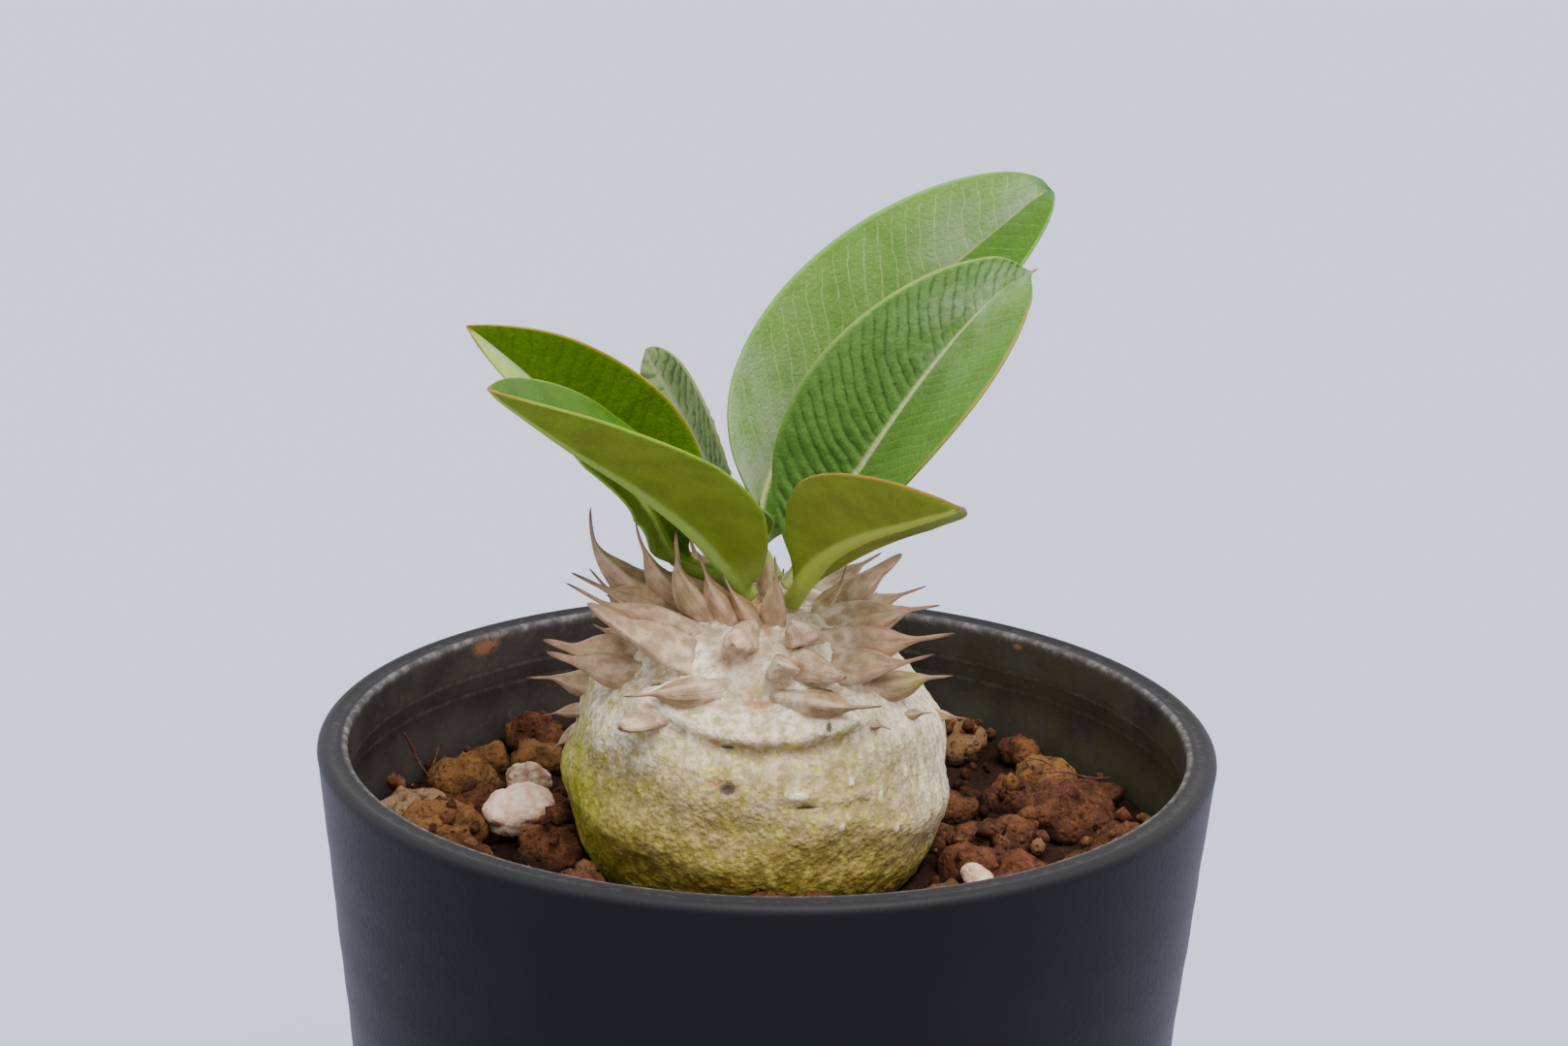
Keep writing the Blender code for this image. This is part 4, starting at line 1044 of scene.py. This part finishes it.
def back_thorns():
    """Thorn pairs on the hidden side, placed by the golden angle with seeded variation."""
    draw = np.random.default_rng(BACK_SEED)
    rows = []
    for pair in range(BACK_PAIRS):
        azimuth = (pair * GOLDEN_ANGLE) % 360
        distance = BACK_NEAREST + BACK_SPAN * (pair / BACK_PAIRS) ** 0.9
        wobble = draw.uniform(-1, 1, 5)
        if not BACK_FROM < azimuth < BACK_TO:
            continue
        rise = BACK_RISE - BACK_RISE_PER * distance
        girth = BACK_GIRTH - BACK_GIRTH_PER * distance
        for side in (-1, 1):
            own = wobble[2 + side]
            heading = math.radians(azimuth + side * (PAIR_SPREAD + 4 * wobble[0]))
            length = (BACK_LENGTH - BACK_LENGTH_PER * distance) * (1 + 0.15 * own)
            root_azimuth = math.radians(azimuth + side * BACK_ROOT_SPREAD / distance)
            x = distance * math.cos(root_azimuth) + length * math.cos(heading) + STEM_X / MM
            y = distance * math.sin(root_azimuth) + length * math.sin(heading)
            z = crown_height(distance * MM) / MM + rise * (0.55 + 0.2 * wobble[2 - side])
            rows.append((math.degrees(root_azimuth), distance, x, y, z, BACK_BOW, girth, 0.0))
    return tuple(rows)


def thorn_width(s, bluntness):
    """Width along a thorn: a broad body that eases into a slim spine, or a rounded stub."""
    spine = (1 - 0.87 * smooth(s, 0.20, 0.80)) * np.sqrt(np.clip(1 - s ** 8, 0, 1))
    stub = (1 - 0.12 * s) * np.sqrt(np.clip(1 - s ** 5, 0, 1))
    return (spine + (stub - spine) * bluntness) * (1.04 - 0.04 * smooth(s, 0.10, 0.40))


def thorn_surface(row, draw):
    """One thorn and its layers: rings on a quadratic curve, flattened, keeled and a little twisted."""
    azimuth, distance, x, y, z, bow, girth, bluntness = row
    azimuth = math.radians(azimuth)
    out = np.array([math.cos(azimuth), math.sin(azimuth), 0.0])
    root = out * distance * MM + np.array([STEM_X, 0.0, crown_height(distance * MM)])
    tip = np.array([x, y, z]) * MM
    middle = (root + tip) / 2 + out * bow * MM * THORN_BOW
    start = root + unit(root - middle) * THORN_SINK
    s = (1 - (1 - np.linspace(0, 1, THORN_RINGS)) ** 1.25)[:, None]
    weights = np.concatenate([(1 - s) ** 2, THORN_BEND * 2 * s * (1 - s), s * s], axis=1)
    weights = weights / weights.sum(axis=1, keepdims=True)
    centre = weights @ np.stack([start, middle, tip])
    side, over = sideways(unit(np.gradient(centre, axis=0)))
    kink = draw.uniform(-0.5, 0.5, 2) * girth * MM * THORN_KINK
    sway = np.sin(math.pi * s) * smooth(s, 0.35, 0.75)
    centre = centre + (side * kink[0] + over * kink[1]) * sway
    turn = around(THORN_SIDES)
    phase = draw.uniform(0, 2 * math.pi, 4)
    corner = 3 * turn + phase[0] + s
    ridges = (1 + 0.15 * np.cos(corner) + 0.05 * np.cos(2 * corner) + 0.07 * np.cos(2 * turn + phase[1])
              + 0.03 * np.cos(5 * turn + phase[2] + 4 * s) + 0.05 * np.sin(9 * s + phase[3]))
    reach = girth * MM * thorn_width(s, bluntness) * ridges
    rings = tube(centre, side, over,
                 THORN_WIDE * reach * np.cos(turn), THORN_DEEP * reach * np.sin(turn))
    length = np.linalg.norm(tip - start) / MM
    tone = stacked(s + 0 * turn, bluntness, draw.uniform(0.1, 1))
    grain = stacked(2.2 * np.cos(turn), 2.2 * np.sin(turn), 0.30 * length * s) + draw.uniform(-50, 50, 3)
    # How much a point lies on a ridge, where a painted highlight is laid.
    edge = (1 - 0.6 * bluntness) * np.maximum(np.cos(corner), 0) ** 2
    return stack_with(rings, {"thorn_tone": tone, "thorn_grain": grain, "thorn_edge": edge})


def add_thorns():
    """Every thorn of the stem in one piece."""
    draw = np.random.default_rng(THORN_SEED)
    made = [thorn_surface(row, draw) for row in FRONT_THORNS + back_thorns()]
    layers = {label: np.concatenate([layers[label] for _, layers in made]) for label in made[0][1]}
    shape = joined([part for part, _ in made])
    add_piece("caudex_thorns", shape, thorn_finish(), "caudex", layers)


# Soil and stones

def lumpy(directions, draw, amount):
    """Distance factors for unit directions: a few seeded waves, so that each stone differs."""
    waves = draw.normal(0, 1.6, (4, 3))
    phases = draw.uniform(0, 2 * math.pi, 4)
    return 1 + amount * np.sin(directions @ waves.T + phases).sum(axis=1) / 2


def ball(subdivisions):
    """Unit directions and triangles of an icosphere."""
    made = bmesh.new()
    bmesh.ops.create_icosphere(made, subdivisions=subdivisions, radius=1.0)
    directions = np.array([v.co[:] for v in made.verts])
    faces = np.array([[v.index for v in f.verts] for f in made.faces])
    made.free()
    return directions, faces


def crags(points, size, seed):
    """Round lumps with sharp creases between: a noise's size without its sign, at three sizes."""
    total = -0.65
    for octave in range(3):
        total = total + np.abs(noise(points, size / 2 ** octave, seed + octave)) / 2 ** octave
    return total


def stone(draw, half_sizes, amount, globe, crumble, size, seed):
    """A stone: a lumpy ellipsoid turned about Z and pushed in and out by crags; and its hollows."""
    directions, faces = globe
    turn = draw.uniform(0, 2 * math.pi)
    cos, sin = math.cos(turn), math.sin(turn)
    spin = np.array([[cos, -sin, 0], [sin, cos, 0], [0, 0, 1]])
    points = directions * lumpy(directions, draw, amount)[:, None] * np.array(half_sizes)
    height = crags(points, size, seed)
    points = points + unit(points) * (crumble * height)[:, None]
    return points @ spin.T, faces, smooth(height, -0.20, -0.55)


def random_spot(draw, near, far):
    """A seeded place on the soil between two distances from the stem's axis."""
    distance = math.sqrt(draw.uniform(near ** 2, far ** 2))
    angle = draw.uniform(0, 2 * math.pi)
    return np.array([STEM_X + distance * math.cos(angle), distance * math.sin(angle)])


def clod_places():
    """Seeded clod centres, from large to small, none crowding another, a stone or the walls."""
    draw = np.random.default_rng(CLOD_SEED)
    taken = [(np.array(c[:2]) * MM, max(h[:2]) * MM * PUMICE_ROOM) for c, h, _ in PUMICE.values()]
    kept = []
    for radius, count in CLOD_SIZES:
        near = stem_radius(SOIL_LEVEL) + CLOD_MARGIN * radius
        far = inner_wall(SOIL_LEVEL) - CLOD_MARGIN * radius
        made = 0
        for _ in range(CLOD_TRIES):
            if made == count:
                break
            spot = random_spot(draw, near, far)
            room = [np.linalg.norm(spot - other) - CLOD_CROWDING * (radius + size)
                    for other, size in taken]
            if min(room) < 0:
                continue
            taken.append((spot, radius))
            kept.append((spot, radius, int(draw.integers(1000))))
            made += 1
    return kept


def keep_clear(points):
    """Pulls points inside the pot's wall and pushes them off the stem."""
    flat = points[:, :2]
    reach = np.linalg.norm(flat, axis=1)
    flat = flat * (np.minimum(reach, inner_wall(points[:, 2]) - GAP) / reach)[:, None]
    axis = np.array([STEM_X, 0.0])
    from_stem = np.linalg.norm(flat - axis, axis=1)
    least = stem_radius(points[:, 2]) + GAP
    flat = axis + (flat - axis) * (np.maximum(from_stem, least) / from_stem)[:, None]
    return np.column_stack([flat, points[:, 2]])


def spot_share(spot, spots):
    """How much a clod takes the colour of the nearest of some spots: 1 at it, 0 past its reach."""
    away = min(math.hypot(spot[0] - x * MM, spot[1] - y * MM) for x, y in spots)
    return float(smooth(away, SPOT_REACH * 1.4, SPOT_REACH * 0.6))


def add_stones(name, stones):
    """One piece of many clods: the points, faces, hollows and tone of each."""
    shape = joined([(points, [], faces) for points, faces, _, _ in stones])
    tones = [np.tile(np.clip(tone, 0, 1), (len(points), 1)) for points, _, _, tone in stones]
    layers = {"clod_tone": np.concatenate(tones),
              "painted_hollow_shade": np.concatenate([hollow for _, _, hollow, _ in stones])}
    add_piece(name, shape, SOIL_FINISH, "soil", layers)


def add_clods():
    """The clods of the solid's own rule, each finer and crumbled, coloured one by one."""
    globes = {size: ball(detail) for (size, _), detail in zip(CLOD_SIZES, (4, 3, 3))}
    stones = []
    for index, (spot, radius, seed) in enumerate(CLODS):
        draw = np.random.default_rng(seed)
        half = radius * draw.uniform(0.85, 1.1, 3) * np.array([1.0, 1.0, CLOD_FLATNESS])
        points, faces, hollow = stone(draw, half, CLOD_ROUGHNESS, globes[radius],
                                      CLOD_CRUMBLE * radius, CLOD_CRAGS * radius, 40 + index)
        lift = SOIL_LEVEL + draw.uniform(-0.05, 0.3) * radius
        tone = (draw.uniform(0, 0.6), max(spot_share(spot, OCHRE_SPOTS), draw.uniform(-0.5, 0.35)),
                spot_share(spot, TAN_SPOTS))
        stones.append((keep_clear(points + np.array([*spot, lift])), faces, hollow, tone))
    add_stones("soil_clods", stones)


def surface_height(spot):
    """Height of the clods' tops at a spot, from the ellipsoids that they start as."""
    best = SOIL_LEVEL
    for centre, radius, _ in CLODS:
        away = np.linalg.norm(spot - centre) / radius
        if away < 1:
            best = max(best, SOIL_LEVEL + radius * (0.1 + CLOD_FLATNESS * math.sqrt(1 - away ** 2)))
    return best


def add_crumbs():
    """Seeded crumbs, small and few-sided, in the gaps and on the slopes of the clods."""
    draw = np.random.default_rng(CRUMB_SEED)
    globe = ball(1)
    near = stem_radius(SOIL_LEVEL) + GAP
    far = inner_wall(SOIL_LEVEL) - CRUMB_MARGIN
    stones = []
    for index in range(CRUMB_COUNT):
        spot = random_spot(draw, near, far)
        size = CRUMB_SIZES[0] + (CRUMB_SIZES[1] - CRUMB_SIZES[0]) * draw.uniform(0, 1) ** 2
        from_pumice = min(math.hypot(spot[0] - c[0] * MM, spot[1] - c[1] * MM) - h[0] * MM
                          for c, h, _ in PUMICE.values())
        if from_pumice < GAP:
            continue
        top = surface_height(spot)
        half = size * draw.uniform(0.7, 1.2, 3)
        points, faces, hollow = stone(draw, half, CRUMB_ROUGHNESS, globe, 0.35 * size, size, 300 + index)
        sunk = 0.25 if top > SOIL_LEVEL else 0.0
        points = keep_clear(points + np.array([*spot, top + size * (0.35 - sunk)]))
        tone = (draw.uniform(0, 1), draw.uniform(-0.9, 0.7), draw.uniform(-7, 0.5))
        stones.append((points, faces, hollow, tone))
    add_stones("soil_crumbs", stones)


def add_soil_bed():
    """The body of the soil below its clods: turned up the pot's wall, over, and down the root's hole."""
    floor_top = FOOT_HEIGHT + FLOOR_THICKNESS + GAP
    inner = [(r + ROOT_GAP, h) for r, h in stem_curve(60) if 31 * MM < h < SOIL_LEVEL]
    wall = [(inner_wall(h) - GAP, h) for h in np.linspace(floor_top + 1.8 * MM, SOIL_LEVEL, 20)]
    section = [(1.0 * MM, floor_top), (wall[0][0] - 2.0 * MM, floor_top)] + wall
    section += [(r, SOIL_LEVEL) for r in np.linspace(wall[-1][0], inner[-1][0], 60)[1:-1]]
    section += inner[::-1]
    radius, height = np.array(section).T[..., None]
    angle = around(SOIL_SIDES)
    rings = stacked(radius * np.cos(angle), radius * np.sin(angle), height)
    flat = np.abs(rings[..., 2] - SOIL_LEVEL) < 1e-6
    rings[..., 2] += flat * BED_ROUGHNESS * rough(rings, BED_LUMP, 77)
    from_rim = np.linspace(0, 1, len(section))[:, None]
    rings[..., 0] += STEM_X * smooth(from_rim, 0.3, 0.6)
    shape, layers = stack_with(rings, {"clod_tone": 0 * rings + [0.3, 0.0, 0.0]})
    add_piece("soil_bed", shape, SOIL_FINISH, "soil", layers)


def add_rootlets():
    """Dry rootlets: round tubes along curves, thinner towards both ends."""
    parts = []
    turn = around(ROOTLET_SIDES)
    u = np.linspace(0, 1, ROOTLET_ROWS)
    for points, radius in ROOTLETS:
        place, along = curve_through(points, u)
        side, over = sideways(along, (0.3, 0.2, 1.0))
        width = radius * (1 - 0.8 * np.abs(2 * u - 1) ** 3) * (1 + 0.15 * np.sin(23 * u))
        rings = tube(place, side, over, width[:, None] * np.cos(turn), width[:, None] * np.sin(turn))
        parts.append(closed_stack(rings * MM))
    add_piece("soil_rootlets", joined(parts), root_finish(), "soil")


def add_pumice():
    """The pale stones, each with the solid's own lumps and finer pitting."""
    for k, (name, (centre, half, soiling)) in enumerate(PUMICE.items()):
        draw = np.random.default_rng(PUMICE_SEED + k)
        points, faces, hollow = stone(draw, np.array(half) * MM, PUMICE_ROUGHNESS, ball(5),
                                      PUMICE_PITTING, PUMICE_CRAGS, 500 + k)
        shape = joined([(points + np.array(centre) * MM, [], faces)])
        finish = pumice_finish(name, soiling)
        add_piece(name + "_stone", shape, finish, name, {"painted_hollow_shade": hollow})


# Leaves

def half_width(u, widest, petiole, fullness):
    """Half-width along a leaf: narrow petiole, then a blade u^p (1-u)^q scaled to its widest."""
    p, q = fullness
    blade = np.clip((u - petiole) / (1 - petiole), 0, 1)
    peak = p / (p + q)
    outline = blade ** p * (1 - blade) ** q / (peak ** p * (1 - peak) ** q)
    slim = PETIOLE_HALF_WIDTH + (TIP_HALF_WIDTH - PETIOLE_HALF_WIDTH) * u
    return np.maximum(widest * MM * outline, slim)


def leaf_surface(rib, roll, fold, width, u, v):
    """Middle surface of a leaf: each half leaves the rib at the fold angle, rolled about it."""
    place, along = curve_through(rib, u)
    side, over = sideways(along)
    turn = np.radians(roll[0] + (roll[1] - roll[0]) * u)[:, None]
    across = side * np.cos(turn) + over * np.sin(turn)
    upward = over * np.cos(turn) - side * np.sin(turn)
    bend = math.radians(fold)
    span = width * v
    return tube(place * MM, across, upward, span * math.cos(bend), np.abs(span) * math.sin(bend))


def leaf_loop(upper, lower):
    """Rings round a leaf: across the upper side one way and back across the lower side."""
    return np.concatenate([upper, lower[:, ::-1]], axis=1)


def leaf_rows(rib):
    """Places along a leaf's rib, closer together at the tip, and their shares of the rib's length."""
    fine = np.linspace(0, LEAF_END, 2000)
    step = np.linalg.norm(np.diff(curve_through(rib, fine)[0], axis=0), axis=1)
    travel = np.concatenate([[0], np.cumsum(step)])
    share = 1 - (1 - np.linspace(0, 1, LEAF_ROWS)) ** TIP_CROWDING
    return np.interp(share, travel / travel[-1], fine), share[:, None], travel[-1] * MM


def vein_phase(share, v, width, length, count, seed):
    """Which side vein a point lies at: even along the rib, raked to the tip, more so at the margin."""
    reach = np.abs(v)
    rake = width / length * (VEIN_RAKE[0] * reach + VEIN_RAKE[1] * reach ** 3)
    place = stacked(9 * share, 1.2 * v, 0)
    wobble = 0.24 * noise(place, 0.5, seed) + 0.09 * noise(place, 0.16, seed + 7)
    return count * (share - rake) + wobble + 0.5 * (v > 0)


def add_leaf(name, rib, widest, petiole, fullness, roll, fold):
    """One leaf: a folded blade, thin at its margin and tip, with relief at the veins, ridged below."""
    looks = LEAF_LOOKS[name]
    seed = 60 + list(LEAVES).index(name)
    u, share, length = leaf_rows(rib)
    even = np.linspace(-1, 1, LEAF_COLUMNS)
    v = np.sign(even) * np.abs(even) ** RIB_CROWDING
    reach = np.abs(v)
    width = half_width(u, widest, petiole, fullness)[:, None]
    grid = leaf_surface(rib, roll, fold, width, u, v)
    normal = unit(np.cross(np.gradient(grid, axis=1), np.gradient(grid, axis=0)))
    phase = vein_phase(share, v, width, length, looks["veins"], seed)
    crest = (0.5 + 0.5 * np.cos(2 * math.pi * phase)) ** VEIN_SHARPNESS
    span = reach * width
    fade = smooth(span, 0.4 * MM, 1.4 * MM) * smooth(reach, 1.0, 0.86)
    place = stacked(share * length, np.sign(v) * span, 0)
    crinkle = noise(place, CRINKLE_SIZES[0], seed) + 0.7 * noise(place, CRINKLE_SIZES[1], seed + 1)
    pleat = np.where(v < 0, *looks["relief"]) * MM * fade * (crest + 0.22 * crinkle)
    u = u[:, None]
    wave = MARGIN_WAVE * np.sin(9 * u + seed) * reach ** 2
    ridge = np.exp(-(span / (RIB_HALF_WIDTH * (1 - RIB_TAPER * u))) ** 2)
    thickness = MARGIN_THICKNESS + (BLADE_THICKNESS - MARGIN_THICKNESS) * (1 - reach ** 3)
    thickness = thickness * (0.25 + 0.75 * smooth(share, 1.0, 0.95))
    upper = grid + normal * (thickness / 2 + pleat + wave + RIB_HEIGHT * ridge)[..., None]
    lower = grid - normal * (thickness / 2 - pleat + RIB_DEPTH * (1 - u) * ridge - wave)[..., None]
    side = stacked(ridge, share, 0)
    shape, layers = stack_with(leaf_loop(upper, lower), {
        "leaf_place": leaf_loop(stacked(v, phase, 1), stacked(v, phase, 0)),
        "leaf_side": leaf_loop(side, side),
    })
    add_piece(name + "_blade", shape, leaf_finish(name, looks), name, layers)


# Studio

def add_studio():
    """Pale floor, soft sky and one broad sun."""
    half = FLOOR_SIZE / 2
    corners = [(-half, -half, 0), (half, -half, 0), (half, half, 0), (-half, half, 0)]
    mesh = bpy.data.meshes.new("floor")
    mesh.from_pydata(corners, [], [(0, 1, 2, 3)])
    mesh.materials.append(paper_finish())
    placed("floor", mesh)
    world = bpy.data.worlds.new("sky")
    world.use_nodes = True
    background = world.node_tree.nodes["Background"]
    background.inputs["Color"].default_value = (*SKY_COLOUR, 1.0)
    background.inputs["Strength"].default_value = SKY_STRENGTH
    bpy.context.scene.world = world
    sun = bpy.data.lights.new("sun", "SUN")
    sun.energy = SUN_STRENGTH
    sun.angle = math.radians(SUN_SPREAD)
    towards = unit(np.array(SUN_FROM))
    lamp = placed("sun", sun)
    lamp.rotation_euler = (math.acos(towards[2]), 0.0, math.atan2(towards[0], -towards[1]))


def add_camera():
    """The camera: its right, up and back directions from elevation and roll, then its place."""
    elevation = math.radians(CAMERA_ELEVATION)
    roll = math.radians(CAMERA_ROLL)
    forward = np.array([0.0, math.cos(elevation), -math.sin(elevation)])
    level_right = np.array([1.0, 0.0, 0.0])
    level_up = np.cross(level_right, forward)
    turn = np.eye(4)
    turn[:3, 0] = level_right * math.cos(roll) + level_up * math.sin(roll)
    turn[:3, 1] = level_up * math.cos(roll) - level_right * math.sin(roll)
    turn[:3, 2] = -forward
    turn[:3, 3] = np.array(CAMERA_TARGET) - CAMERA_DISTANCE * forward
    lens = bpy.data.cameras.new("camera")
    lens.lens = CAMERA_LENS
    lens.sensor_width = 36.0
    lens.clip_start = 0.01
    camera = placed("camera", lens)
    camera.matrix_world = Matrix(turn.tolist())
    bpy.context.scene.camera = camera


SOIL_FINISH = soil_finish()
CLODS = clod_places()
add_camera()
add_studio()
add_pot()
add_soil_bed()
add_clods()
add_crumbs()
add_rootlets()
add_pumice()
add_skin()
add_thorns()
for leaf_name, leaf_shape in LEAVES.items():
    add_leaf(leaf_name, *leaf_shape)
